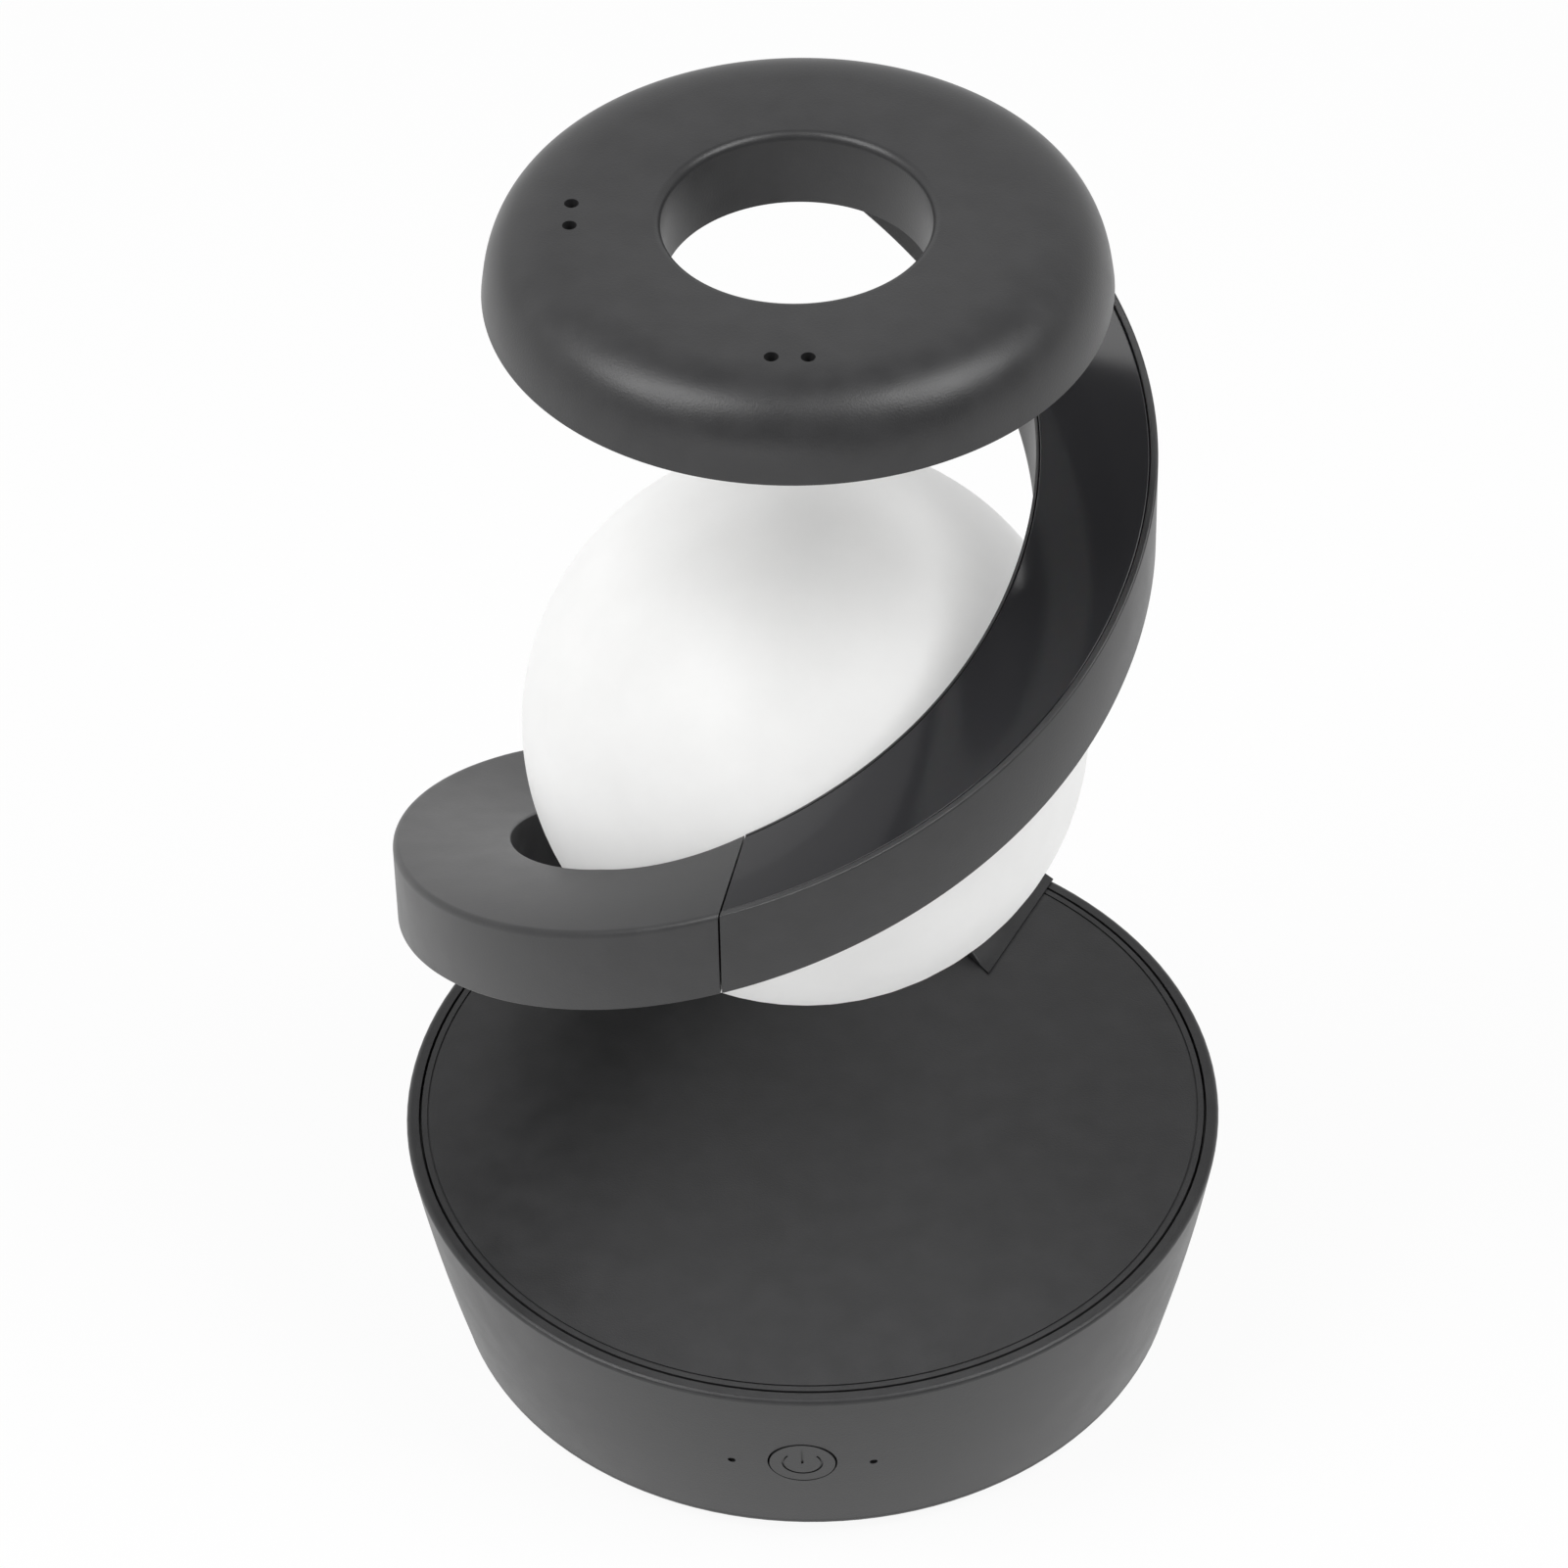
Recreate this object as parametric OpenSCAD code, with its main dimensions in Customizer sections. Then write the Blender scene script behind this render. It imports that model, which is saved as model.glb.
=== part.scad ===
// Table lamp: a bowl base, a ribbon arm that winds once round a glowing ball, and a flat ring on top.
// Millimetres, +Z up. The origin is the middle of the face that the feet stand on, and the front is -Y.
// Azimuths are degrees from +X, growing anticlockwise as seen from above.

/* [Base] */
// Diameter of the base across its rim
base_d = 150; // [140:1:170]
// How far the wall comes in from the rim down to its rounded foot
foot_in = 7.5; // [5:0.5:12]
// Height of the top plate over the table
plate_top = 43.5; // [40:0.5:60]
// Thickness of the bowl's wall
wall = 2.4; // [1.8:0.1:3.2]
// How far the wall swells past a straight cone, half way down
wall_bulge = 0.45; // [0:0.05:1.5]
// Width of the rim that stands round the top plate
rim_w = 2.25; // [1.8:0.05:3.5]
// Radius of the rim's outer edge
rim_round = 0.9; // [0.3:0.1:1.5]
// Radius of the foot's outer edge
foot_round = 2; // [1:0.1:2.5]
// Thickness of the top plate
plate_t = 2.5; // [2:0.1:4]
// Gap between the top plate and the rim
plate_gap = 0.5; // [0.2:0.05:0.8]
// Thickness of the bottom cover
cover_t = 2.5; // [2:0.1:4]
// How far the rubber feet stand out under the base
feet_show = 1.9; // [1:0.1:3]
// Diameter of each rubber foot
feet_d = 14; // [8:0.5:16]
// Distance of the steel ballast disc's edge from the rim
ballast_in = 23; // [20:1:28]
// Thickness of the steel ballast disc
ballast_t = 5; // [3:0.5:8]

/* [Button] */
// Diameter of the power button's cap
button_d = 11.8; // [9:0.1:13]
// Gap round the cap
button_gap = 0.35; // [0.2:0.05:0.6]
// How far the button travels when it is pressed
button_travel = 0.6; // [0.3:0.1:1]
// How far the cap stands out of the wall at rest
button_proud = 0; // [0:0.1:1]
// Depth of the button's middle below the top plate
button_drop = 19.4; // [17:0.1:22]
// Diameter of the two status light holes beside the button
pinhole_d = 1.4; // [1:0.1:2]
// Distance from the button's middle to each status light
pinhole_x = 12.7; // [11.5:0.1:15]

/* [Inlet] */
// Bore of the power socket at the back
inlet_bore_d = 5.7; // [5.5:0.1:6.5]
// Depth of the power socket's bore
inlet_depth = 9.5; // [8:0.5:10]
// Height of the power socket over the table
inlet_z = 17; // [15:0.5:22]

/* [Arm] */
// Height of the ribbon arm's section
arm_h = 18; // [16:0.5:22]
// Thickness of the arm's walls
arm_wall = 2; // [1.5:0.1:2.5]
// Azimuth where the arm's foot starts on the plate
arm_start = 46.6; // [40:0.2:60]
// Turn from the foot to where the arm's top meets the ring
arm_sweep = 376; // [370:1:380]
// Azimuth of the seam between the lower and the upper arm
seam_az = 259.6; // [250:0.2:270]
// Width of the seam
seam_gap = 0.35; // [0.2:0.05:0.6]
// Radius of the lower arm's top edges
arm_edge = 1; // [0.4:0.1:1.5]
// Width of the matt lip outside the glossy inlay
lip_out = 1.3; // [1:0.1:2]
// Width of the matt lip inside the glossy inlay
lip_in = 1; // [0.8:0.1:1.5]
// Thickness of the glossy inlay
inlay_t = 1.8; // [1.2:0.1:2.4]

/* [Ring] */
// Diameter of the ring at its bottom edge
ring_d = 104.4; // [100:0.2:110]
// Height of the ring
ring_h = 14; // [13:0.5:18]
// Height of the ring's underside over the top plate
ring_rise = 190.5; // [186:0.5:196]
// Diameter of the flat on the ring's top
ring_flat_d = 76; // [74:1:80]
// Diameter where the ring's shoulder becomes its side
shoulder_d = 102.8; // [98:0.2:104]
// Depth of the ring's rounded shoulder
shoulder_h = 8.2; // [6:0.2:9]
// Diameter of the hole through the ring
hole_d = 44.6; // [42:0.2:48]
// Radius of the hole's upper edge
hole_round = 1.5; // [0.5:0.1:2]
// Thickness of the ring's shells
ring_wall = 2; // [1.6:0.1:2.4]
// Diameter of the small holes in the ring's top
vent_d = 2.4; // [1.5:0.1:3]
// Distance between the two holes of a pair
vent_pitch = 5.9; // [5:0.1:7]
// Distance of each pair from the ring's axis
vent_r = 37; // [35:0.5:38]

/* [Ball] */
// Diameter of the ball
ball_d = 99.2; // [96:0.2:100]
// Height of the ball's centre over the top plate
ball_rise = 93.8; // [93:0.1:95]
// Thickness of the ball's shells
ball_wall = 2; // [1.5:0.1:3]
// Clearance between the ball and the arm's hollowed inner face
ball_gap = 0.4; // [0.3:0.1:1]
// Azimuth of the stem that carries the ball
stem_az = 248; // [244:1:250]
// Diameter of the stem
stem_d = 7; // [6.4:0.1:7.4]
// Lean of the ball's mould seam from upright, turned about the stem
ball_seam_lean = 21; // [0:1:45]

/* [Hidden] */

$fn = 96;
over = 0.5;            // overrun of every cut
fit = 0.15;            // clearance round pieces that slip together
draft = 0.3;           // how far a channel's walls lean

// Base, worked out
rim_r = base_d / 2;
foot_r = rim_r - foot_in;
plate_r = rim_r - rim_w - plate_gap;
ballast_r = rim_r - ballast_in;
bowl_low = feet_show;
rim_low = plate_top - rim_round;
foot_high = bowl_low + foot_round;
wall_steps = 12;
ledge_w = 3.6;         // width of the ledge that carries the top plate
ledge_t = 2;
cover_lip = 0.7;       // land of the bowl outside the bottom cover
cover_r = foot_r - foot_round - cover_lip - fit;
cover_ledge_w = 6.2;
boss_in = 3.8;
bead_in = 1.05;        // distance of the plate's fine bead line from its edge
bead_w = 0.35;
bead_depth = 0.3;

// Feet
feet_turn = 45;
feet_seat = 1;
feet_r = cover_r - feet_d;

// Screws: pan heads, and smaller ones in the arm and the ring
screw_d = 2.8;
head_d = 5.2;
head_h = 1.8;
small_d = 2;
small_head_d = head_d * small_d / screw_d;
small_head_h = head_h * small_d / screw_d;
boss_d = 7.4;
boss_h = 12;
cover_screw_l = 9;
boss_r = cover_r - boss_in;
boss_turns = [45, 135, 225, 315];

// Circuit boards and their posts
board_t = 1.6;
board_x = 76;
board_y = 54;
board_in = 4;          // distance of a board's screws from its edges
post_d = 6;
post_over = 4;         // height of the posts over the ballast
chip_side = 10;
chip_h = 1.6;
can_d = 8;
can_h = 11;
board_screw_l = 6;
board_z = bowl_low + cover_t + ballast_t + post_over;

// Button
button_z = plate_top - button_drop;
wall_lean = atan((rim_r - foot_r) / (rim_low - foot_high));
button_r = wall_r(button_z);
button_pad_d = 17.5;   // flat pad inside the wall round the button
button_pad_t = 1;
flange_w = 1.1;        // width of the flange that keeps the button in
flange_t = 1;
plunger_d = 3.4;
plunger_l = 2;
switch_side = 6;
switch_h = 3.5;
switch_board_x = 32;
switch_board_y = 11;
switch_post_x = 10;
switch_post_d = 3.4;
switch_pilot_d = 1.6;
switch_screw_l = 5;
post_sag = 1;          // how far the curved wall falls away beside the button
switch_back = wall + button_pad_t + fit + flange_t + plunger_l + switch_h;
pipe_set_back = 0.6;   // how deep the status lights sit in their holes
pinhole_drop = 1.1;
symbol_r = 3.7;        // power symbol: radius, line width, depth, opening angle and bar length
symbol_w = 0.4;
symbol_depth = 0.3;
symbol_open = 96;
symbol_bar = 4.3;

// Inlet
inlet_body_d = 10;
inlet_flange_d = 13;
inlet_flange_t = 1.2;
inlet_seat_d = 15;     // flat pocket in the back wall
inlet_seat_t = 2.4;
inlet_seat_in = 2.6;   // how deep the pocket's floor lies inside the wall
inlet_collar_l = 6;    // length of the collar behind the wall that the pocket is sunk in
inlet_pin_d = 2;
inlet_clear = 5.4;     // depth of the socket's guiding bore, in front of the chamber that holds the pin
inlet_relief = 0.6;    // how much further out that chamber goes
inlet_body_l = 15;
nut_w = 3;
nut_d = 14;
inlet_face = wall_r(inlet_z) - inlet_seat_in;

// Arm at equal steps of its turn: its outer edge as shares of the way from the ball to the rim, its inner
// edge as shares of the ball's radius, and its height as shares of the ring's rise
steps_a_turn = 8;
outer_shares = [1, 1.03, 1.03, 0.94, 0.805, 0.64, 0.475, 0.355, 0.145, 0.07];
inner_shares = [0.9405, 1.08, 1.095, 1.05, 0.99, 0.9075, 0.825, 0.7755, 0.735, 0.72];
height_shares = [0, 0.083, 0.224, 0.371, 0.507, 0.638, 0.758, 0.873, 1, 1.13];
ring_low = plate_top + ring_rise;
foot_gap = 0.1;        // gap under the arm's foot
foot_edge = 1;         // thickness of the foot's thin end
foot_skew = 7;         // turn of the foot's cut end from its inner to its outer corner
skew_share = 0.12;     // share of the arm over which the cut's slant dies out
step_az = 4;           // turn between two sections of the arm
seam_half = asin(seam_gap / base_d);
hollow_from = 92;      // azimuths where the arm's hollow and its cover start, and where the upper
                       // hollow ends
cover_from = 104;
hollow_to = 426.6;
arm_end = 452;         // azimuth where the arm runs out under the ring
face_shares = [0.72, 0.48, 0.24];  // heights on the inner face at which it follows the ball
chamfer_share = 0.2;   // most that an edge may take of the arm's height where the arm is thin
low_edge = 0.6;        // chamfer along the arm's lower edges
arm_cover_t = 1.8;
inlay_short = 1;       // how far before the ring the inlay ends
inlay_end = arm_start + arm_sweep - inlay_short;
inlay_sink = 0.15;     // how far the inlay lies under the lips
splice_w = 5;
splice_turn = 13;
splice_h_gap = 2.4;
splice_screw_turn = 7;
splice_screw_l = 9;
strip_w = 8;
strip_t = 0.8;
strip_up = arm_wall + 2 * fit;
wires_d = 3;
wires_az = 98;         // azimuth where they rise through the top plate
wires_in_share = 0.544;  // where they rise through the plate, as a share of the way across the arm
wires_turn = 6;        // turn between two points of their route
wires_merge = 24;      // turn over which they reach the arm's outer wall
wires_lift = 6.5;      // height over the arm's underside
wires_end_az = 424.2;  // azimuth where they rise into the ring
wires_end_up = 4.5;    // how far they rise over the ring's underside
wires_rise_steps = 4;
wires_sides = 8;
wires_wall = arm_wall + draft + wires_d / 2 + fit;

// Foot and bracket
foot_screw_places = [[72, 0.3], [82, 0.58], [84, 0.21]];  // azimuth, and share of the way across the arm
foot_screw_in = 5.5;
bracket_t = 2;
bracket_low = bowl_low + cover_t + ballast_t;
bracket_high = plate_top - plate_t - bracket_t;
bracket_from = 64;
bracket_to = 91;
bracket_in_r = ballast_r;
bracket_out_r = plate_r + plate_gap - ledge_w - fit;
bracket_foot_in_r = bracket_in_r - 5 * bracket_t;
bracket_screw_turn = 8;
bracket_screw_r = bracket_in_r - 3 * bracket_t;
bracket_screw_l = 4;
wire_hole_d = 6;

// Ring
ring_r = ring_d / 2;
hole_r = hole_d / 2;
ring_top = ring_low + ring_h;
pan_in_r = hole_r + ring_wall + fit;
pan_out_r = ring_r - ring_wall - 2 * fit;
light_in_land = 6.7;   // lands of the ring inside and outside its light
light_out_land = 9.7;
light_in_r = hole_r + light_in_land;
light_out_r = ring_r - light_out_land;
light_lip = 1;
light_from = 106;
light_turn = 290;
ring_board_z = 5;      // height of the light board over the ring's underside
ring_leds = 12;
ring_board_posts = 3;
ring_boss_d = 5;
ring_boss_in = 5.6;
ring_boss_h = 7.4;
ring_boss_r = ring_r - ring_boss_in;
wires_hole_d = 4.4;
ring_boss_turns = [20, 135, 215, 300];
ring_screw_l = 8;
end_screw_places = [[432, 0.39], [441, 0.62]];
end_screw_in = 2.6;

// Ball
ball_r = ball_d / 2;
free_r = ball_r + ball_gap;  // radius of the hollow that the arm leaves for the ball
ball_z = plate_top + ball_rise;
stem_bore_d = 4;
stem_flange_d = 15;
stem_flange_t = 1.8;
stem_flange_x = sqrt(pow(ball_r - ball_wall, 2) - pow(stem_flange_d / 2, 2)) - fit;
stem_tail = 9;         // length of the stem inside the ball
stem_out = 5.3;        // length of the stem outside the ball
stem_nut_t = 2.5;
stem_nut_d = 11;
ball_board_d = 26;
led_d = 5;
led_h = 1.2;
led_count = 6;
led_ring_share = 0.34;
half_gap = 0.05;

function wall_r(z) = let(u = (rim_low - z) / (rim_low - foot_high))
    rim_r - (rim_r - foot_r) * u + wall_bulge * 4 * u * (1 - u);

// Smooth curve through a table of shares
function along(shares, t) = let(u = t * steps_a_turn, n = len(shares) - 1, i = max(0, min(floor(u), n - 1)),
    f = u - i, b = shares[i], c = shares[i + 1],
    a = i > 0 ? shares[i - 1] : 2 * b - c, d = i < n - 1 ? shares[i + 2] : 2 * c - b)
    b + f * (c - a + f * (2 * a - 5 * b + 4 * c - d + f * (3 * (b - c) + d - a))) / 2;
function turn_of(az) = (az - arm_start) / arm_sweep;
function out_r(t) = free_r + (rim_r - free_r) * along(outer_shares, t);
function in_r(t) = free_r * along(inner_shares, t);
function free_z(t) = plate_top + ring_rise * along(height_shares, t);
function top_z(t) = min(ring_low, max(free_z(t), plate_top + foot_gap + foot_edge));
function low_z(t) = max(free_z(t) - arm_h, plate_top + foot_gap);
// The inner face gives way to the ball where the ball comes close
function face_r(t, z) = let(d = pow(free_r, 2) - pow(z - ball_z, 2)) max(in_r(t), d > 0 ? sqrt(d) : 0);
function inmost_r(t) = max(face_r(t, low_z(t)), face_r(t, top_z(t)),
    (low_z(t) < ball_z && top_z(t) > ball_z) ? free_r : 0);
function skew(t) = foot_skew * max(0, 1 - t / skew_share);
// A point of the arm: station t, radius r, and a height dz over its lower (k = 0) or upper (k = 1) face
function spot(t, r, k, dz) = let(s = (r - in_r(t)) / (out_r(t) - in_r(t)), a = arm_start + arm_sweep * t,
    b = a + skew(t), u = t + s * skew(t) / arm_sweep)
    [in_r(t) * cos(a) * (1 - s) + out_r(t) * cos(b) * s,
     in_r(t) * sin(a) * (1 - s) + out_r(t) * sin(b) * s,
     (k == 0 ? low_z(u) : top_z(u)) + dz];
function depth(t) = top_z(t) - low_z(t);
// The inner face is drawn at shares of its height, so that it can follow the ball
function face_spots(t, shares) = [for (s = shares) let(dz = depth(t) * s, z = low_z(t) + dz)
    spot(t, face_r(t, z), 0, dz)];
function stations(from, to) = let(n = ceil((to - from) / step_az))
    [for (i = [0 : n]) turn_of(from + (to - from) * i / n)];

function lip_r(t) = face_r(t, top_z(t)) + lip_in;
function mid_r(t) = (out_r(t) + inmost_r(t)) / 2;
function slope(t) = let(e = step_az / arm_sweep)
    atan((low_z(t + e) - low_z(t - e)) / (2 * step_az * PI / 180 * mid_r(t)));
// Radius at an azimuth and a share of the way across the arm
function across(az, k) = let(t = turn_of(az)) in_r(t) * (1 - k) + out_r(t) * k;
// Radius of the upper hollow's inner wall at a depth d under the lip
function wall_at(t, d) = lip_r(t)
    + (inmost_r(t) + lip_in + draft - lip_r(t)) * d / max(inlay_t, depth(t) - arm_wall);

// Wires: up through the plate into the arm, along its outer wall, then up into the ring
wires_r = across(wires_az, wires_in_share);
wires_low = inlet_z + inlet_seat_d / 2 + wall + wires_d;  // they start over the socket's collar
wires_turns = floor((wires_end_az - wires_az) / wires_turn) - 1;
wires_end_r = ring_r - ring_wall - wires_d;
wires_end_z = low_z(turn_of(wires_end_az)) + wires_lift;
wires_route = concat(
    [for (i = [0 : wires_rise_steps]) [wires_r, wires_az,
        wires_low + (plate_top - wires_low) * i / wires_rise_steps]],
    [for (i = [1 : wires_turns]) let(turned = i * wires_turn, t = turn_of(wires_az + turned),
        k = min(1, turned / wires_merge))
        [wires_r + (out_r(t) - wires_wall - wires_r) * k, wires_az + turned, low_z(t) + wires_lift]],
    [for (i = [1 : wires_rise_steps])
        [wires_end_r, wires_end_az,
         wires_end_z + (ring_low + wires_end_up - wires_end_z) * i / wires_rise_steps]]);
function place(p) = [p[0] * cos(p[1]), p[0] * sin(p[1]), p[2]];
function unit(v) = v / norm(v);

// Solid through a row of sections that all have n points, each running anticlockwise
module sweep(sections) {
    n = len(sections[0]);
    m = len(sections);
    polyhedron(points = [for (s = sections) each s], convexity = 8, faces = concat(
        [[for (j = [n - 1 : -1 : 0]) j], [for (j = [0 : n - 1]) (m - 1) * n + j]],
        [for (i = [0 : m - 2]) for (j = [0 : n - 1])
            let(a = i * n + j, b = i * n + (j + 1) % n) each [[a, b, b + n], [a, b + n, a + n]]]));
}

// A pan head screw of length l, pointing up from the face that its head bears on
module screw(l, d = screw_d) {
    k = d / screw_d;
    cylinder(d = d, h = l);
    translate([0, 0, -head_h * k]) cylinder(d = head_d * k, h = head_h * k);
}

module at_turn(az, r, z) { rotate([0, 0, az]) translate([r, 0, z]) children(); }

// A frame on the front wall at the button: +Z points straight out of the wall
module at_button() { translate([0, -button_r, button_z]) rotate([90 + wall_lean, 0, 0]) children(); }

module sector(from, to, r1, r2, h) {
    rotate([0, 0, from]) rotate_extrude(angle = to - from) translate([r1, 0]) square([r2 - r1, h]);
}

// Base

module base_bowl() {
    wall_in = function (z) wall_r(z) - wall;
    ledge_low = plate_top - plate_t - ledge_t;
    inner_r = plate_r + plate_gap;
    cover_top = bowl_low + cover_t;
    color("#3f3f41") difference() {
        union() {
            rotate_extrude() polygon(concat(
                [[cover_r + fit, bowl_low], [foot_r - foot_round, bowl_low]],
                [for (a = [-75 : 15 : 0]) [foot_r - foot_round * (1 - cos(a)),
                    foot_high + foot_round * sin(a)]],
                [for (i = [1 : wall_steps]) let(z = foot_high + (rim_low - foot_high) * i / wall_steps)
                    [wall_r(z), z]],
                [for (a = [15 : 15 : 90]) [rim_r - rim_round * (1 - cos(a)), rim_low + rim_round * sin(a)]],
                [[inner_r, plate_top], [inner_r, plate_top - plate_t],
                 [inner_r - ledge_w, plate_top - plate_t], [inner_r - ledge_w, ledge_low],
                 [wall_in(ledge_low - ledge_w / 2), ledge_low - ledge_w / 2]],
                [for (i = [wall_steps - 2 : -1 : 1])
                    let(z = foot_high + (ledge_low - foot_high) * i / wall_steps)
                    [wall_in(z), z]],
                [[wall_in(cover_top + ledge_t), cover_top + ledge_t],
                 [cover_r - cover_ledge_w, cover_top + ledge_t], [cover_r - cover_ledge_w, cover_top],
                 [cover_r + fit, cover_top]]));
            for (a = boss_turns) at_turn(a, boss_r, cover_top + ledge_t / 2)
                cylinder(d = boss_d, h = boss_h);
            at_button() {
                translate([0, 0, -wall - button_pad_t])
                    cylinder(d = button_pad_d, h = button_pad_t + wall / 2);
                for (x = [-switch_post_x, switch_post_x]) translate([x, 0, -switch_back])
                    cylinder(d = switch_post_d, h = switch_back - wall / 2 - post_sag);
            }
            translate([0, wall_r(inlet_z), inlet_z]) rotate([90 - wall_lean, 0, 0])
                translate([0, 0, wall / 2])
                cylinder(d = inlet_seat_d + 2 * wall, h = inlet_collar_l);
        }
        for (a = boss_turns) at_turn(a, boss_r, cover_top - over)
            cylinder(d = screw_d, h = cover_screw_l + over);
        at_button() {
            translate([0, 0, -wall - button_pad_t - over])
                cylinder(d = button_d + 2 * button_gap, h = wall + button_pad_t + 2 * over + post_sag);
            for (x = [-pinhole_x, pinhole_x]) translate([x, -pinhole_drop, -switch_back / 2])
                cylinder(d = pinhole_d, h = switch_back);
            for (x = [-switch_post_x, switch_post_x]) translate([x, 0, -switch_back - over])
                cylinder(d = switch_pilot_d, h = switch_screw_l);
        }
        translate([0, inlet_face + inlet_seat_d, inlet_z]) rotate([90, 0, 0])
            cylinder(d = inlet_seat_d, h = inlet_seat_d);
        translate([0, inlet_face - inlet_seat_t, inlet_z]) rotate([90, 0, 0])
            cylinder(d = nut_d + wall, h = inlet_collar_l);
        translate([0, inlet_face + over, inlet_z]) rotate([90, 0, 0])
            cylinder(d = inlet_body_d + 2 * fit, h = inlet_seat_t + 2 * over);
    }
}

module top_plate() {
    color("#414142") difference() {
        translate([0, 0, plate_top - plate_t]) cylinder(r = plate_r, h = plate_t, $fn = 180);
        rotate_extrude() translate([plate_r - bead_in - bead_w, plate_top - bead_depth])
            square([bead_w, bead_depth + over]);
        for (p = foot_screw_places) at_turn(p[0], across(p[0], p[1]), plate_top - plate_t - over)
            cylinder(d = screw_d + 2 * fit, h = plate_t + 2 * over);
        at_turn(wires_az, wires_r, plate_top - plate_t - over)
            cylinder(d = wire_hole_d, h = plate_t + 2 * over);
    }
}

module board_posts() {
    for (x = [-1, 1]) for (y = [-1, 1])
        translate([x * (board_x / 2 - board_in), y * (board_y / 2 - board_in), 0])
        children();
}

module bottom_cover() {
    cover_top = bowl_low + cover_t;
    color("#333334") difference() {
        union() {
            translate([0, 0, bowl_low]) cylinder(r = cover_r, h = cover_t);
            board_posts() translate([0, 0, bowl_low])
                cylinder(d = post_d, h = cover_t + ballast_t + post_over);
        }
        for (a = boss_turns) at_turn(a, boss_r, bowl_low - over) {
            cylinder(d = screw_d + 2 * fit, h = cover_t + 2 * over);
            cylinder(d = head_d + 2 * fit, h = head_h + over);
        }
        for (a = boss_turns) at_turn(a + feet_turn, feet_r, bowl_low - over)
            cylinder(d = feet_d + 2 * fit, h = feet_seat + over);
        board_posts() translate([0, 0, cover_top + ballast_t + post_over - board_screw_l])
            cylinder(d = switch_pilot_d, h = board_screw_l + over);
    }
}

module rubber_feet() {
    color("#1c1c1d") for (a = boss_turns) at_turn(a + feet_turn, feet_r, 0)
        cylinder(d = feet_d, h = feet_show + feet_seat);
}

module cover_screws() {
    color("#8d8f92") for (a = boss_turns) at_turn(a, boss_r, bowl_low + head_h)
        screw(cover_t - head_h + cover_screw_l - over);
}

module ballast() {
    color("#77797c") difference() {
        translate([0, 0, bowl_low + cover_t]) cylinder(r = ballast_r, h = ballast_t);
        board_posts() translate([0, 0, bowl_low + cover_t - over])
            cylinder(d = post_d + 2 * fit, h = ballast_t + 2 * over);
        for (s = [-1, 1]) at_turn((bracket_from + bracket_to) / 2 + s * bracket_screw_turn, bracket_screw_r,
            bowl_low + cover_t + ballast_t - bracket_screw_l)
                cylinder(d = screw_d, h = bracket_screw_l + over);
    }
}

module main_board() {
    color("#1f5b3c") difference() {
        union() {
            translate([-board_x / 2, -board_y / 2, board_z]) cube([board_x, board_y, board_t]);
            for (x = [-1, 1]) translate([x * chip_side - chip_side / 2, -chip_side / 2, board_z])
                cube([chip_side, chip_side, board_t + chip_h]);
            for (x = [-1, 1]) translate([x * board_x / 4, board_y / 4, board_z])
                cylinder(d = can_d, h = board_t + can_h);
        }
        board_posts() translate([0, 0, board_z - over])
            cylinder(d = screw_d + 2 * fit, h = board_t + 2 * over);
    }
}

module board_screws() {
    color("#8d8f92") board_posts() translate([0, 0, board_z + board_t]) mirror([0, 0, 1])
        screw(board_t + board_screw_l - over, switch_pilot_d);
}

module power_inlet() {
    color("#19191a") translate([0, inlet_face, inlet_z]) rotate([90, 0, 0]) {
        difference() {
            union() {
                translate([0, 0, -inlet_flange_t]) cylinder(d = inlet_flange_d, h = inlet_flange_t);
                cylinder(d = inlet_body_d, h = inlet_body_l);
            }
            translate([0, 0, -inlet_flange_t - over]) cylinder(d = inlet_bore_d, h = inlet_clear + over);
            translate([0, 0, inlet_clear - inlet_flange_t])
                cylinder(d = inlet_bore_d + 2 * inlet_relief, h = inlet_depth - inlet_clear);
        }
        translate([0, 0, inlet_clear - inlet_flange_t + fit])
            cylinder(d = inlet_pin_d, h = inlet_depth - inlet_clear);
    }
}

module inlet_nut() {
    color("#9a9c9f") translate([0, inlet_face - inlet_seat_t, inlet_z]) rotate([90, 0, 0]) difference() {
        cylinder(d = nut_d, h = nut_w, $fn = 6);
        translate([0, 0, -over]) cylinder(d = inlet_body_d + fit, h = nut_w + 2 * over);
    }
}

// Button and its switch

module power_symbol(h) {
    difference() {
        cylinder(r = symbol_r, h = h);
        translate([0, 0, -over]) cylinder(r = symbol_r - symbol_w, h = h + 2 * over);
        translate([0, 0, -over]) linear_extrude(h + 2 * over) polygon([[0, 0],
            [-2 * symbol_r * sin(symbol_open / 2), 2 * symbol_r * cos(symbol_open / 2)],
            [2 * symbol_r * sin(symbol_open / 2), 2 * symbol_r * cos(symbol_open / 2)]]);
    }
    translate([-symbol_w / 2, symbol_r - symbol_bar + symbol_w, 0]) cube([symbol_w, symbol_bar, h]);
}

module power_button() {
    color("#3c3c3e") at_button() difference() {
        union() {
            translate([0, 0, -wall - button_pad_t - fit])
                cylinder(d = button_d, h = wall + button_pad_t + fit + button_proud);
            translate([0, 0, -wall - button_pad_t - fit - flange_t])
                cylinder(d = button_d + 2 * button_gap + 2 * flange_w, h = flange_t);
        }
        translate([0, 0, button_proud - symbol_depth]) power_symbol(symbol_depth + over);
    }
}

module switch_plunger() {
    color("#c9c7c0") at_button() translate([0, 0, -wall - button_pad_t - fit - flange_t - plunger_l])
        cylinder(d = plunger_d, h = plunger_l);
}

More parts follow.
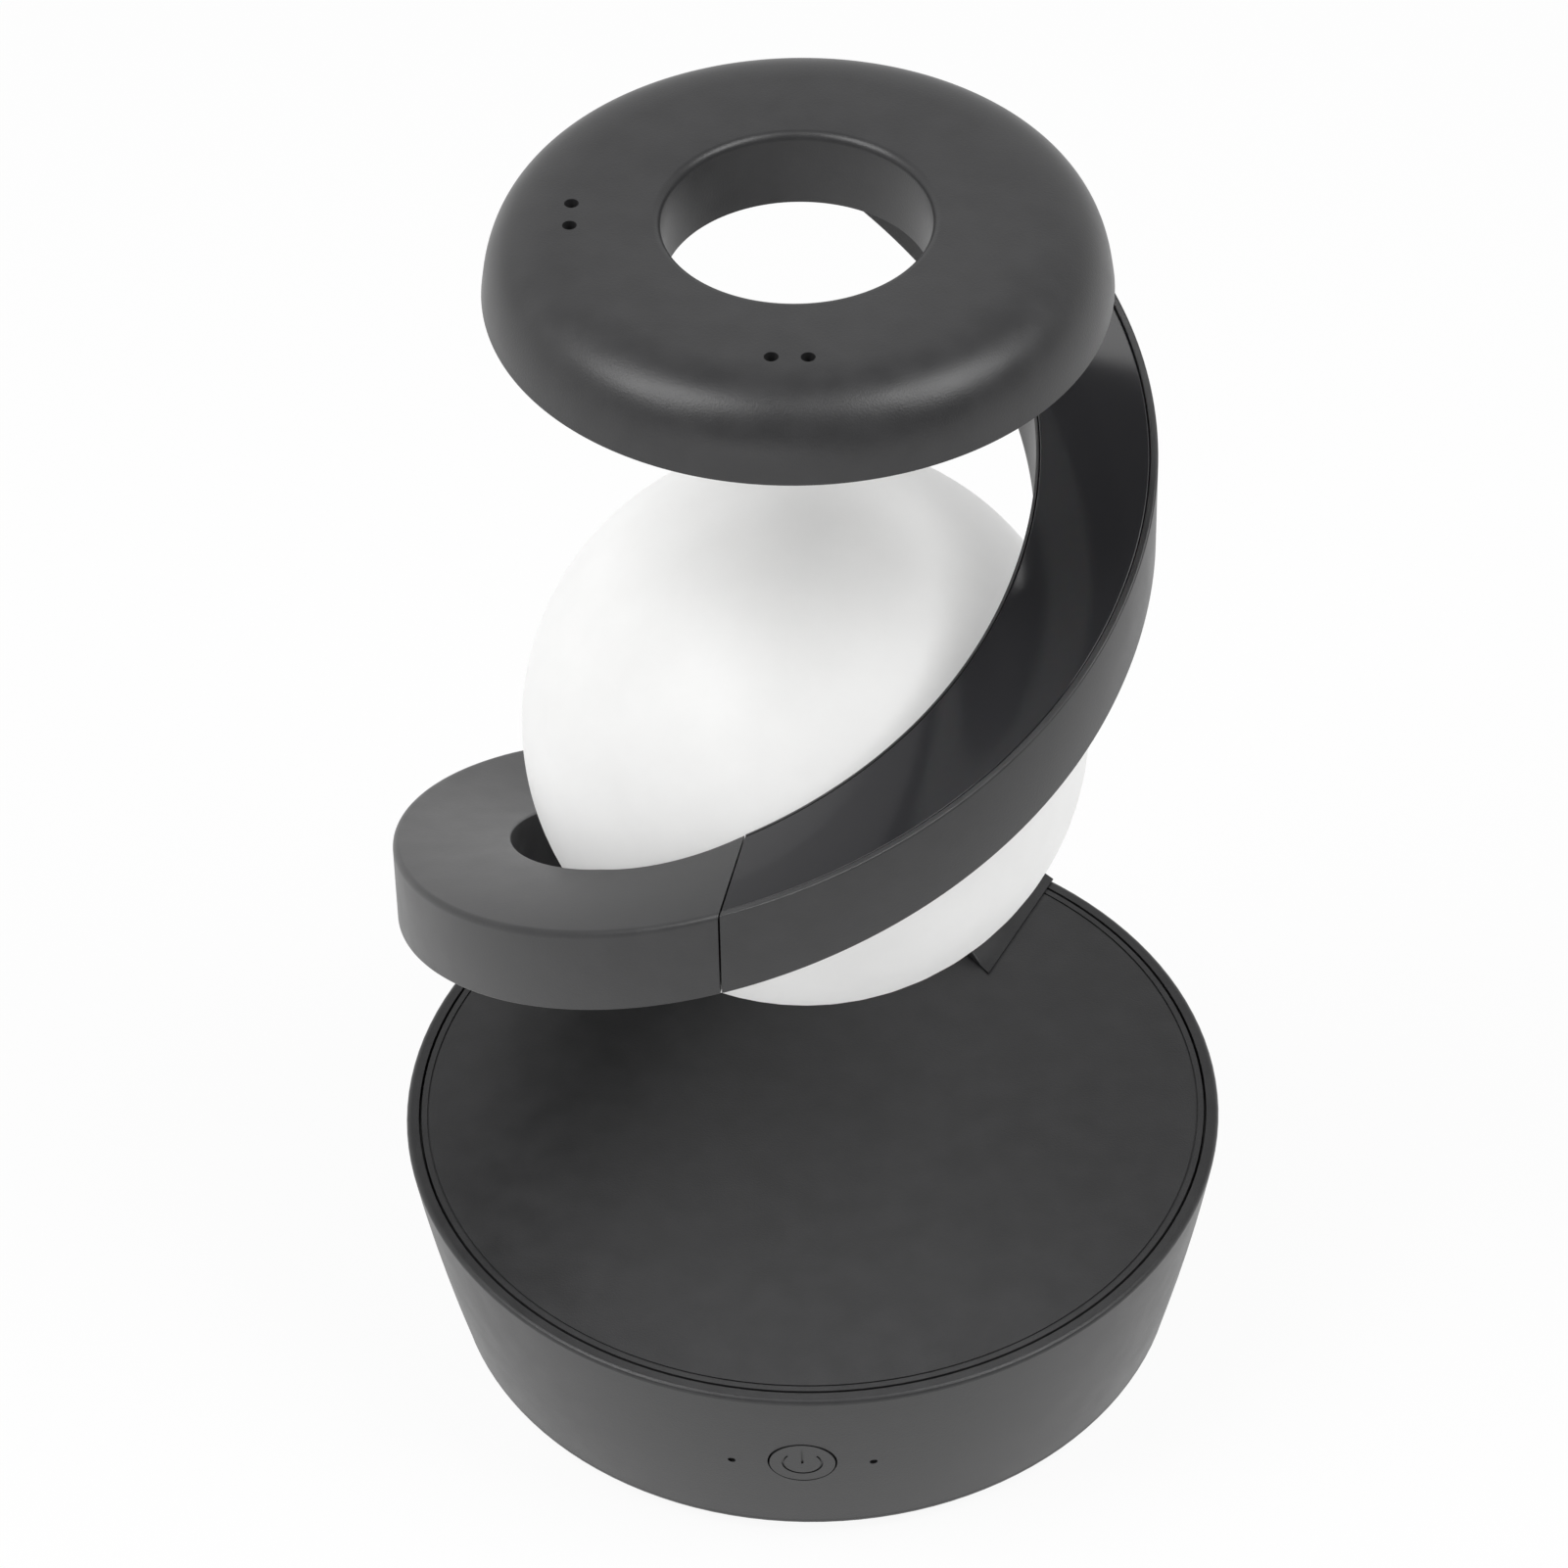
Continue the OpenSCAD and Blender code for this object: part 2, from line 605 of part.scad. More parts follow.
module tact_switch() {
    color("#1a1a1b") at_button() translate([0, 0, -switch_back]) difference() {
        translate([-switch_side / 2, -switch_side / 2, 0]) cube([switch_side, switch_side, switch_h - fit]);
        translate([0, 0, switch_h - button_travel - 2 * fit - over])
            cylinder(d = plunger_d + 4 * fit, h = button_travel + 2 * over);
    }
}

module switch_board() {
    color("#1f5b3c") at_button() translate([0, 0, -switch_back - board_t]) difference() {
        translate([-switch_board_x / 2, -switch_board_y / 2, 0])
            cube([switch_board_x, switch_board_y, board_t]);
        for (x = [-switch_post_x, switch_post_x]) translate([x, 0, -over])
            cylinder(d = switch_pilot_d + 4 * fit, h = board_t + 2 * over);
    }
}

module switch_screws() {
    color("#8d8f92") at_button() for (x = [-switch_post_x, switch_post_x])
        translate([x, 0, -switch_back - board_t]) screw(board_t + switch_screw_l - 2 * over, switch_pilot_d);
}

module status_light_pipes() {
    color("#101011") at_button() for (x = [-pinhole_x, pinhole_x])
        translate([x, -pinhole_drop, -switch_back])
        cylinder(d = pinhole_d - 2 * fit, h = switch_back - post_sag - pipe_set_back);
}

// Arm

module arm_bracket() {
    color("#8a8c8f") difference() {
        union() {
            translate([0, 0, bracket_high]) sector(bracket_from, bracket_to, bracket_in_r - bracket_t,
                bracket_out_r, bracket_t);
            translate([0, 0, bracket_low]) sector(bracket_from, bracket_to, bracket_in_r - bracket_t,
                bracket_in_r,
                bracket_high - bracket_low + bracket_t);
            translate([0, 0, bracket_low]) sector(bracket_from, bracket_to, bracket_foot_in_r,
                bracket_in_r, bracket_t);
        }
        for (p = foot_screw_places) at_turn(p[0], across(p[0], p[1]), bracket_high - over)
            cylinder(d = screw_d + 2 * fit, h = bracket_t + 2 * over);
        for (s = [-1, 1]) at_turn((bracket_from + bracket_to) / 2 + s * bracket_screw_turn,
            bracket_screw_r, bracket_low - over)
            cylinder(d = screw_d + 2 * fit, h = bracket_t + 2 * over);
    }
}

module bracket_screws() {
    color("#8d8f92") for (s = [-1, 1])
        at_turn((bracket_from + bracket_to) / 2 + s * bracket_screw_turn, bracket_screw_r,
            bracket_low + bracket_t)
            mirror([0, 0, 1]) screw(bracket_t + bracket_screw_l - over);
}

module arm_foot_screws() {
    color("#8d8f92") for (p = foot_screw_places) at_turn(p[0], across(p[0], p[1]), bracket_high)
        screw(bracket_t + plate_t + foot_gap + foot_screw_in - over);
}

// Section of the lower arm: outer face up, top, inner face down, then the hollow under it
function lower_section(t, open) = let(R = out_r(t), h = depth(t), e = min(arm_edge, h * chamfer_share),
    c = min(low_edge, h * chamfer_share), v = inmost_r(t) + arm_wall, w = R - arm_wall,
        g = open ? h - arm_wall : fit)
    concat([spot(t, R - c, 0, 0), spot(t, R, 0, c), spot(t, R, 1, -e),
        spot(t, R - e * (1 - cos(45)), 1, -e * (1 - sin(45))),
        spot(t, R - e, 1, 0), spot(t, face_r(t, top_z(t)) + e, 1, 0),
            spot(t, face_r(t, top_z(t) - e), 1, -e)],
        face_spots(t, face_shares),
        [spot(t, face_r(t, low_z(t) + c), 0, c), spot(t, face_r(t, low_z(t)) + c, 0, 0),
         spot(t, v, 0, 0), spot(t, v + draft, 0, g), spot(t, w - draft, 0, g), spot(t, w, 0, 0)]);

module arm_lower_body() {
    solid = stations(arm_start, hollow_from);
    hollow = stations(hollow_from + seam_half, seam_az - seam_half);
    color("#4a4a4b") resize([0, 0, 0]) difference() {
        sweep(concat([for (t = solid) lower_section(t, false)], [for (t = hollow) lower_section(t, true)]));
        for (p = foot_screw_places) at_turn(p[0], across(p[0], p[1]), plate_top - over)
            cylinder(d = screw_d, h = foot_gap + foot_screw_in + over);
        at_turn(stem_az, ball_r - arm_wall, ball_z) rotate([0, 90, 0])
            cylinder(d = stem_d + 2 * fit, h = ball_gap + 3 * arm_wall);
    }
}

module arm_lower_cover() {
    color("#333334") difference() {
        sweep([for (t = stations(cover_from, seam_az - seam_half))
            let(v = inmost_r(t) + arm_wall + draft + fit,
            w = out_r(t) - arm_wall - draft - fit)
            [spot(t, w, 0, 0), spot(t, w, 0, arm_cover_t), spot(t, v, 0, arm_cover_t), spot(t, v, 0, 0)]]);
        splice_hole(small_d + 2 * fit, -1);
        splice_hole(small_head_d + 2 * fit, -1, small_head_h);
    }
}

// A frame on the arm's underside on the side s of the seam, with +Z square to the underside
module at_splice(s) {
    t = turn_of(seam_az + s * splice_screw_turn);
    at_turn(seam_az + s * splice_screw_turn, mid_r(t), low_z(t)) rotate([slope(t), 0, 0]) children();
}

module splice_hole(d, s, h = splice_screw_l) {
    at_splice(s) translate([0, 0, -over]) cylinder(d = d, h = h + over);
}

module arm_splice() {
    color("#8a8c8f") difference() {
        sweep([for (t = stations(seam_az - splice_turn, seam_az + splice_turn)) let(m = mid_r(t))
            [spot(t, m + splice_w / 2, 0, splice_h_gap),
             spot(t, m + splice_w / 2, 1, -splice_h_gap - inlay_t),
             spot(t, m - splice_w / 2, 1, -splice_h_gap - inlay_t),
             spot(t, m - splice_w / 2, 0, splice_h_gap)]]);
        splice_hole(small_d, -1);
        splice_hole(small_d, 1);
    }
}

module splice_screws() {
    color("#8d8f92") for (s = [-1, 1]) at_splice(s) translate([0, 0, small_head_h])
        screw(splice_screw_l - small_head_h - over, small_d);
}

// Section of the upper arm: inner face down, underside, outer face up, then the hollow in its top
function upper_section(t, open) = let(R = out_r(t), h = depth(t), c = min(low_edge, h * chamfer_share),
    w = R - lip_out, g = open ? arm_wall - h : -fit)
    concat([spot(t, face_r(t, top_z(t)), 1, 0)], face_spots(t, face_shares),
        [spot(t, face_r(t, low_z(t) + c), 0, c), spot(t, face_r(t, low_z(t)) + c, 0, 0),
            spot(t, R - c, 0, 0),
         spot(t, R, 0, c), spot(t, R, 1, 0), spot(t, w, 1, 0), spot(t, w - draft, 1, g),
         spot(t, open ? inmost_r(t) + lip_in + draft : lip_r(t) + draft, 1, g), spot(t, lip_r(t), 1, 0)]);

module arm_upper_body() {
    hollow = stations(seam_az + seam_half, hollow_to);
    solid = stations(hollow_to + seam_half, arm_end);
    color("#414142") resize([0, 0, 0]) difference() {
        sweep(concat([for (t = hollow) upper_section(t, true)], [for (t = solid) upper_section(t, false)]));
        splice_hole(small_d + 2 * fit, 1, arm_wall + over);
        splice_hole(small_head_d + 2 * fit, 1, small_head_h);
        for (p = end_screw_places) at_turn(p[0], across(p[0], p[1]), ring_low - end_screw_in)
            cylinder(d = small_d, h = end_screw_in + over);
    }
}

module arm_inlay() {
    color("#161617") sweep([for (t = stations(seam_az + seam_half, inlay_end))
        let(w = out_r(t) - lip_out - fit)
        [spot(t, w - draft, 1, -inlay_t), spot(t, w, 1, -inlay_sink),
            spot(t, wall_at(t, 0) + fit, 1, -inlay_sink),
         spot(t, wall_at(t, inlay_t) + fit, 1, -inlay_t)]]);
}

module arm_light_strip() {
    color("#d8d4c4") sweep([for (t = stations(seam_az + splice_turn + step_az, hollow_to - step_az))
        let(m = mid_r(t))
        [spot(t, m + strip_w / 2, 0, strip_up), spot(t, m + strip_w / 2, 0, strip_up + strip_t),
         spot(t, m - strip_w / 2, 0, strip_up + strip_t), spot(t, m - strip_w / 2, 0, strip_up)]]);
}

module arm_wires() {
    line = [for (p = wires_route) place(p)];
    n = len(line);
    color("#a8342c") sweep([for (i = [0 : n - 1])
        let(d = unit(line[min(n - 1, i + 1)] - line[max(0, i - 1)]),
        u = unit(cross(d, [line[i][0], line[i][1], 0])), v = cross(d, u))
        [for (k = [0 : wires_sides - 1]) let(a = 360 * k / wires_sides)
            line[i] + wires_d / 2 * (cos(a) * v + sin(a) * u)]]);
}

// Ring

module shell_profile(inset) {
    h = ring_h - inset;
    ow = ring_r - inset;
    sw = shoulder_d / 2 - inset;
    polygon(concat([[0, 0], [ow, 0], [sw, ring_h - shoulder_h]],
        [for (a = [6 : 6 : 90]) [ring_flat_d / 2 + (sw - ring_flat_d / 2) * cos(a),
            ring_h - shoulder_h + (shoulder_h - inset) * sin(a)]], [[0, h]]));
}

module ring_cover() {
    color("#454547") difference() {
        union() {
            translate([0, 0, ring_low]) rotate_extrude($fn = 180) difference() {
                shell_profile(0);
                translate([0, -over]) square([hole_r, ring_h + 2 * over]);
                difference() {
                    union() {
                        shell_profile(ring_wall);
                        translate([0, -over]) square([ring_r - ring_wall, 2 * over]);
                    }
                    translate([0, -over]) square([hole_r + ring_wall, ring_h + 2 * over]);
                }
                translate([hole_r, ring_h]) difference() {
                    translate([-over, -hole_round]) square([hole_round + over, hole_round + over]);
                    translate([hole_round, -hole_round]) circle(r = hole_round, $fn = 48);
                }
            }
            for (a = ring_boss_turns) at_turn(a, ring_boss_r, ring_low + ring_wall)
                cylinder(d = ring_boss_d, h = ring_boss_h);
        }
        for (a = ring_boss_turns) at_turn(a, ring_boss_r, ring_low + ring_wall - over)
            cylinder(d = small_d, h = ring_screw_l - ring_wall + over);
        for (a = [180, 270]) rotate([0, 0, a]) for (s = [-1, 1])
            translate([vent_r, s * vent_pitch / 2, ring_top - ring_wall - over])
                cylinder(d = vent_d, h = ring_wall + 2 * over);
    }
}

module ring_pan() {
    color("#3a3a3b") difference() {
        translate([0, 0, ring_low]) rotate_extrude() translate([pan_in_r, 0])
            square([pan_out_r - pan_in_r, ring_wall]);
        translate([0, 0, ring_low - over]) sector(light_from, light_from + light_turn, light_in_r,
            light_out_r, ring_wall + 2 * over);
        for (a = ring_boss_turns) at_turn(a, ring_boss_r, ring_low - over) {
            cylinder(d = small_d + 2 * fit, h = ring_wall + 2 * over);
            cylinder(d = small_head_d + 2 * fit, h = small_head_h + over);
        }
        for (p = end_screw_places) at_turn(p[0], across(p[0], p[1]), ring_low - over)
            cylinder(d = small_d + 2 * fit, h = ring_wall + 2 * over);
        at_turn(wires_end_az, wires_end_r, ring_low - over)
            cylinder(d = wires_hole_d, h = ring_wall + 2 * over);
    }
}

module ring_diffuser() {
    color("#e9e7df") union() {
        translate([0, 0, ring_low]) sector(light_from + light_lip, light_from + light_turn - light_lip,
            light_in_r + fit,
            light_out_r - fit, ring_wall);
        translate([0, 0, ring_low + ring_wall]) sector(light_from - light_lip,
            light_from + light_turn + light_lip,
            light_in_r - light_lip, light_out_r + light_lip, light_lip);
    }
}

module ring_light_board() {
    color("#e4e2da") union() {
        translate([0, 0, ring_low + ring_board_z]) sector(light_from, light_from + light_turn, light_in_r,
            light_out_r, board_t);
        for (i = [0 : ring_leds - 1]) at_turn(light_from + light_turn * (i + 0.5) / ring_leds,
            (light_in_r + light_out_r) / 2,
            ring_low + ring_board_z - led_h) cylinder(d = led_d, h = led_h + board_t / 2);
        for (i = [1 : ring_board_posts]) at_turn(light_from + light_turn * i / (ring_board_posts + 1),
            light_out_r - 2 * light_lip, ring_low + ring_wall + light_lip)
                cylinder(r = light_lip, h = ring_board_z - ring_wall);
    }
}

module ring_screws() {
    color("#8d8f92") for (a = ring_boss_turns) at_turn(a, ring_boss_r, ring_low + small_head_h)
        screw(ring_screw_l - small_head_h - over, small_d);
}

module arm_end_screws() {
    color("#8d8f92") for (p = end_screw_places) at_turn(p[0], across(p[0], p[1]), ring_low + ring_wall)
        mirror([0, 0, 1])
        screw(ring_wall + end_screw_in - over / 2, small_d);
}

// Ball, in a frame at its centre with +X along the stem

module at_ball() {
    translate([0, 0, ball_z]) rotate([0, 0, stem_az]) rotate([ball_seam_lean, 0, 0]) children();
}

module ball_half() {
    difference() {
        sphere(r = ball_r, $fn = 180);
        sphere(r = ball_r - ball_wall, $fn = 180);
        translate([-ball_d, -ball_d * 2 + half_gap, -ball_d]) cube([2 * ball_d, 2 * ball_d, 2 * ball_d]);
        rotate([0, 90, 0]) cylinder(d = stem_d + 2 * fit, h = ball_d);
    }
}

module ball_shell_left() { color("#f3f3f0") at_ball() mirror([0, 1, 0]) ball_half(); }

module ball_shell_right() { color("#f3f3f0") at_ball() ball_half(); }

module ball_stem() {
    color("#9a9c9f") at_ball() rotate([0, 90, 0]) difference() {
        union() {
            translate([0, 0, stem_flange_x - stem_tail])
                cylinder(d = stem_d, h = ball_r + stem_out - stem_flange_x + stem_tail);
            translate([0, 0, stem_flange_x - stem_flange_t]) cylinder(d = stem_flange_d, h = stem_flange_t);
        }
        translate([0, 0, stem_flange_x - stem_tail - over]) cylinder(d = stem_bore_d, h = ball_r);
    }
}

module stem_nut() {
    color("#8d8f92") translate([0, 0, ball_z]) rotate([0, 0, stem_az])
        translate([ball_r + ball_gap + arm_wall + draft, 0, 0]) rotate([0, 90, 0]) difference() {
            cylinder(d = stem_nut_d, h = stem_nut_t, $fn = 6);
            translate([0, 0, -over]) cylinder(d = stem_d + fit, h = stem_nut_t + 2 * over);
        }
}

module ball_light_board() {
    color("#e4e2da") at_ball() translate([stem_flange_x - stem_tail - board_t, 0, 0]) rotate([0, 90, 0]) {
        cylinder(d = ball_board_d, h = board_t);
        for (i = [0 : led_count - 1]) rotate([0, 0, 360 * i / led_count])
            translate([ball_board_d * led_ring_share, 0, -led_h]) cylinder(d = led_d, h = led_h);
    }
}

base_bowl();
top_plate();
bottom_cover();
rubber_feet();
cover_screws();
ballast();
main_board();
board_screws();
power_inlet();
inlet_nut();
power_button();
switch_plunger();
tact_switch();
switch_board();
switch_screws();
status_light_pipes();
arm_bracket();
bracket_screws();
arm_foot_screws();
arm_lower_body();
arm_lower_cover();
arm_splice();
splice_screws();
arm_upper_body();
arm_inlay();
arm_light_strip();
arm_wires();
ring_cover();
ring_pan();
ring_light_board();
ring_diffuser();
ring_screws();
arm_end_screws();
ball_shell_left();
ball_shell_right();
ball_stem();
stem_nut();
ball_light_board();
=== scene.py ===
"""Table lamp: a bowl base with a power button, a ribbon arm winding once round a white ball with a faint
painted glow, and a flat ring on top. Metres, +Z up, -Y to the front; azimuths are degrees from +X,
anticlockwise from above."""
import math

import bmesh
import bpy
import numpy as np
from mathutils import Matrix, Vector


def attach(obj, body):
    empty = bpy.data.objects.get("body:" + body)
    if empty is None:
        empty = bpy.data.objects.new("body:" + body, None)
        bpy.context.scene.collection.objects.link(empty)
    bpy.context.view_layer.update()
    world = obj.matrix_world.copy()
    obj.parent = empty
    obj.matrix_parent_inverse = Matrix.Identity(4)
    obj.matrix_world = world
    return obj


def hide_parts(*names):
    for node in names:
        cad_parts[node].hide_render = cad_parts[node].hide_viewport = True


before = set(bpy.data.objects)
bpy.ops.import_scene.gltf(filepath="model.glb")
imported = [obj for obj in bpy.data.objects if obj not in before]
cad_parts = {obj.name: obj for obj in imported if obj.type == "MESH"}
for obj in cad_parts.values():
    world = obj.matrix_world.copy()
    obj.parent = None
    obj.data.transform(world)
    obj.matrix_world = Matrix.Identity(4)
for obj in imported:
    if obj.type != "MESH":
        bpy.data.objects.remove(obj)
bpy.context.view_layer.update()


# The photographer's set: a long lens from the front, 42 degrees down, and a white sweep lit by soft boxes.
# The lamp is turned 2.6 degrees on the sweep, and the camera leans 1.2 degrees.
def linear(hex_code):
    """A colour given as sRGB hex, turned to linear RGBA: (c + 0.055) / 1.055 to the power 2.4 over the knee."""
    c = np.array([int(hex_code[i:i + 2], 16) for i in (1, 3, 5)]) / 255
    return (*np.where(c > 0.04045, ((c + 0.055) / 1.055) ** 2.4, c / 12.92), 1.0)


def add(tree, kind, inputs=(), **settings):
    """Adds one node: settings are its properties, and inputs maps a socket to a value or to what is linked."""
    n = tree.nodes.new(kind)
    for name, value in settings.items():
        setattr(n, name, value)
    for socket, value in dict(inputs).items():
        if isinstance(value, bpy.types.NodeSocket):
            tree.links.new(value, n.inputs[socket])
        else:
            n.inputs[socket].default_value = value
    return n


def around(degrees):
    """A turn about +Z."""
    return Matrix.Rotation(math.radians(degrees), 4, "Z")


def aimed(x_axis, y_axis, z_axis, place):
    """The matrix whose columns are three axes and a place."""
    m = Matrix.Identity(4)
    for i, column in enumerate((x_axis, y_axis, z_axis, place)):
        m.col[i][:3] = column
    return m


PLATE = 0.0435                                      # level of the top plate, on which the arm stands
PHOTO_PX, FOCAL_PX, SENSOR_MM = 1601, 6500, 36
PITCH, ROLL, TURNED, REACH = math.radians(42.24), math.radians(-1.2), 2.6, 1.1237
AIM = Vector((-0.0040, 0, PLATE + 0.07925))
lens = bpy.data.cameras.new("long_lens")
lens.sensor_width = SENSOR_MM
lens.lens = FOCAL_PX / PHOTO_PX * SENSOR_MM
lens.clip_end = 20
camera = bpy.data.objects.new("camera", lens)
bpy.context.collection.objects.link(camera)
sight = Vector((0, math.cos(PITCH), -math.sin(PITCH)))
level, upright = Vector((1, 0, 0)), Vector((0, math.sin(PITCH), math.cos(PITCH)))
camera.matrix_world = around(TURNED) @ aimed(math.cos(ROLL) * level + math.sin(ROLL) * upright,
                                             math.cos(ROLL) * upright - math.sin(ROLL) * level,
                                             -sight, AIM - REACH * sight)
bpy.context.scene.camera = camera


def soft_box(name, width, height, place, target, power):
    """A rectangular lamp of that width and height, standing at place and turned to target."""
    lamp = bpy.data.lights.new(name, "AREA")
    lamp.shape, lamp.size, lamp.size_y, lamp.energy = "RECTANGLE", width, height, power
    stand = bpy.data.objects.new(name, lamp)
    bpy.context.collection.objects.link(stand)
    turn = (Vector(place) - Vector(target)).to_track_quat("Z", "Y").to_matrix().to_4x4()
    stand.matrix_world = Matrix.Translation(place) @ turn


soft_box("left_soft_box", 0.7, 0.9, (-0.74, -0.34, 1.30), (0, 0, 0.12), 12.5)
soft_box("right_soft_box", 0.7, 0.9, (0.76, -0.26, 1.30), (0, 0, 0.12), 12.0)
soft_box("front_soft_box", 1.0, 0.3, (-0.3, -1.3, 0.20), (0, 0, 0.17), 1.2)

# The room: white along the foot of its walls and higher up behind the lamp, where the sweep runs up, and dim
# overhead, on the camera's side and a little on the right. Camera and transmission rays see plain white.
DIM_TOWARDS, ROOM_WHITE = (0.25, -0.6, 1.0), 0.97
world = bpy.data.worlds.new("white_room")
world.use_nodes = True
bpy.context.scene.world = world
sky = world.node_tree
room = sky.nodes["Background"]
room.inputs["Color"].default_value = linear("#FFFFFF")
way = add(sky, "ShaderNodeTexCoord").outputs["Generated"]
height = add(sky, "ShaderNodeVectorMath", {0: way, 1: DIM_TOWARDS}, operation="DOT_PRODUCT")
wall = add(sky, "ShaderNodeMapRange", {"Value": height.outputs["Value"], "From Min": 0.05, "From Max": 0.6,
                                       "To Min": 0.74, "To Max": 0.10})
rays = add(sky, "ShaderNodeLightPath")
seen = add(sky, "ShaderNodeMath", {0: rays.outputs["Is Camera Ray"], 1: rays.outputs["Is Transmission Ray"]},
           operation="MAXIMUM")
shade = add(sky, "ShaderNodeMix", {"Factor": seen.outputs[0], "A": wall.outputs[0], "B": ROOM_WHITE})
sky.links.new(shade.outputs[0], room.inputs["Strength"])

# The sweep: matt white paper laid flat and running back out of sight. Camera and glossy rays see it nearly as
# bright as the room, with a little of its own shading left for the lamp's soft shadow.
SWEEP, PAPER_GLOW = 4, 0.93
sweep_mesh = bpy.data.meshes.new("paper_sweep")
sweep_mesh.from_pydata([(-SWEEP, -SWEEP, 0), (SWEEP, -SWEEP, 0), (SWEEP, SWEEP, 0), (-SWEEP, SWEEP, 0)],
                       [], [(0, 1, 2, 3)])
sweep = bpy.data.objects.new("paper_sweep", sweep_mesh)
bpy.context.collection.objects.link(sweep)
paper = bpy.data.materials.new("white_paper")
paper.use_nodes = True
tree = paper.node_tree
matt = tree.nodes["Principled BSDF"]
matt.inputs["Base Color"].default_value = linear("#F2F2F2")
matt.inputs["Roughness"].default_value = 0.9
glow = add(tree, "ShaderNodeEmission", {"Color": linear("#FFFFFF"), "Strength": 1.0})
rays = add(tree, "ShaderNodeLightPath")
seen = add(tree, "ShaderNodeMath", {0: rays.outputs["Is Camera Ray"], 1: rays.outputs["Is Glossy Ray"]},
           operation="MAXIMUM")
lit = add(tree, "ShaderNodeMath", {0: seen.outputs[0], 1: PAPER_GLOW}, operation="MULTIPLY")
blend = add(tree, "ShaderNodeMixShader", {0: lit.outputs[0], 1: matt.outputs[0], 2: glow.outputs[0]})
tree.links.new(blend.outputs[0], tree.nodes["Material Output"].inputs["Surface"])
sweep_mesh.materials.append(paper)


# The base bowl, the sunk top plate and the power button: injection mouldings in dark grey ABS. The bowl carries
# a rim round the plate, a flat pocket at the back for the power socket, and screw bosses inside.
def finish_of(name, base, roughness, metallic=0.0, **sockets):
    """A new material with its constant values on the shader's own sockets: (material, tree, shader)."""
    m = bpy.data.materials.new(name)
    m.use_nodes = True
    shader = m.node_tree.nodes["Principled BSDF"]
    shader.inputs["Base Color"].default_value = linear(base)
    shader.inputs["Roughness"].default_value = roughness
    shader.inputs["Metallic"].default_value = metallic
    for socket, value in sockets.items():
        shader.inputs[socket.replace("_", " ")].default_value = value
    return m, m.node_tree, shader


def grained(tree, shader, grain_mm, depth_mm, dark, light, rough_low, rough_high, mottle_mm=6.0):
    """Object coordinates drive a fine grain of that size for the bump, and a slow mottle, of which the middle
    part from 0.3 to 0.7 runs from dark to light and from the low to the high roughness."""
    spot = add(tree, "ShaderNodeTexCoord").outputs["Object"]
    grain = add(tree, "ShaderNodeTexNoise", {"Vector": spot, "Scale": 1000 / grain_mm, "Detail": 2.0})
    mottle = add(tree, "ShaderNodeTexNoise", {"Vector": spot, "Scale": 1000 / mottle_mm, "Detail": 4.0})
    bump = add(tree, "ShaderNodeBump", {"Height": grain.outputs[0], "Strength": 1.0,
                                        "Distance": depth_mm / 1000})
    tree.links.new(bump.outputs[0], shader.inputs["Normal"])
    ramp = add(tree, "ShaderNodeValToRGB", {"Fac": mottle.outputs[0]})
    for stop, place, colour in zip(ramp.color_ramp.elements, (0.3, 0.7), (dark, light)):
        stop.position, stop.color = place, linear(colour)
    tree.links.new(ramp.outputs[0], shader.inputs["Base Color"])
    worn = add(tree, "ShaderNodeMapRange", {"Value": mottle.outputs[0], "From Min": 0.3, "From Max": 0.7,
                                            "To Min": rough_low, "To Max": rough_high})
    tree.links.new(worn.outputs[0], shader.inputs["Roughness"])


def dress(material, *names):
    """Gives CAD nodes one material."""
    for name in names:
        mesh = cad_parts[name].data
        mesh.materials.clear()
        mesh.materials.append(material)


# ABS moulded in a spark eroded tool: tiny pits all over draw the lamps out into broad soft bands. The real pits
# are about 0.1 mm across and are drawn 0.35 mm, so that they show.
satin_abs, tree, shader = finish_of("spark_eroded_satin_abs", "#333334", 0.38)
grained(tree, shader, 0.35, 0.03, "#303031", "#363637", 0.36, 0.41)
dress(satin_abs, "base_bowl", "top_plate", "power_button")

# The pieces out of sight below and behind: the bottom cover, the socket, the switch's case, the light pipes and
# the plate under the ring, moulded in black ABS. A plain matt tool leaves them duller than the grey ones.
black_abs, tree, shader = finish_of("moulded_black_abs", "#202021", 0.5)
grained(tree, shader, 0.5, 0.015, "#1E1E1F", "#232324", 0.46, 0.56)
dress(black_abs, "bottom_cover", "power_inlet", "tact_switch", "status_light_pipes", "ring_pan")

# The light window under the ring and the switch's plunger: opal polycarbonate, milky all through, so that it
# looks soft and warm white with a low sheen and hides the lights behind it.
opal, tree, shader = finish_of("opal_polycarbonate", "#F4F3EF", 0.35,
                               Subsurface_Weight=0.3, Subsurface_Scale=0.003)
grained(tree, shader, 0.6, 0.006, "#F1F0EB", "#F6F5F2", 0.32, 0.40, 9.0)
dress(opal, "ring_diffuser", "switch_plunger")

# The steel in the lamp: the ballast disc, the bracket under the foot, the tongue in the seam, the ball's stem,
# and every screw and nut. Bright zinc plate gives a cool grey shine in faint patches, duller here and there.
zinc, tree, shader = finish_of("bright_zinc_plated_steel", "#B4B6B8", 0.35, 1.0)
grained(tree, shader, 0.25, 0.004, "#A9ABAE", "#BEC0C2", 0.26, 0.44, 3.0)
dress(zinc, "ballast", "arm_bracket", "arm_splice", "ball_stem", "stem_nut", "inlet_nut", "cover_screws",
      "board_screws", "switch_screws", "bracket_screws", "arm_foot_screws", "splice_screws", "ring_screws",
      "arm_end_screws")

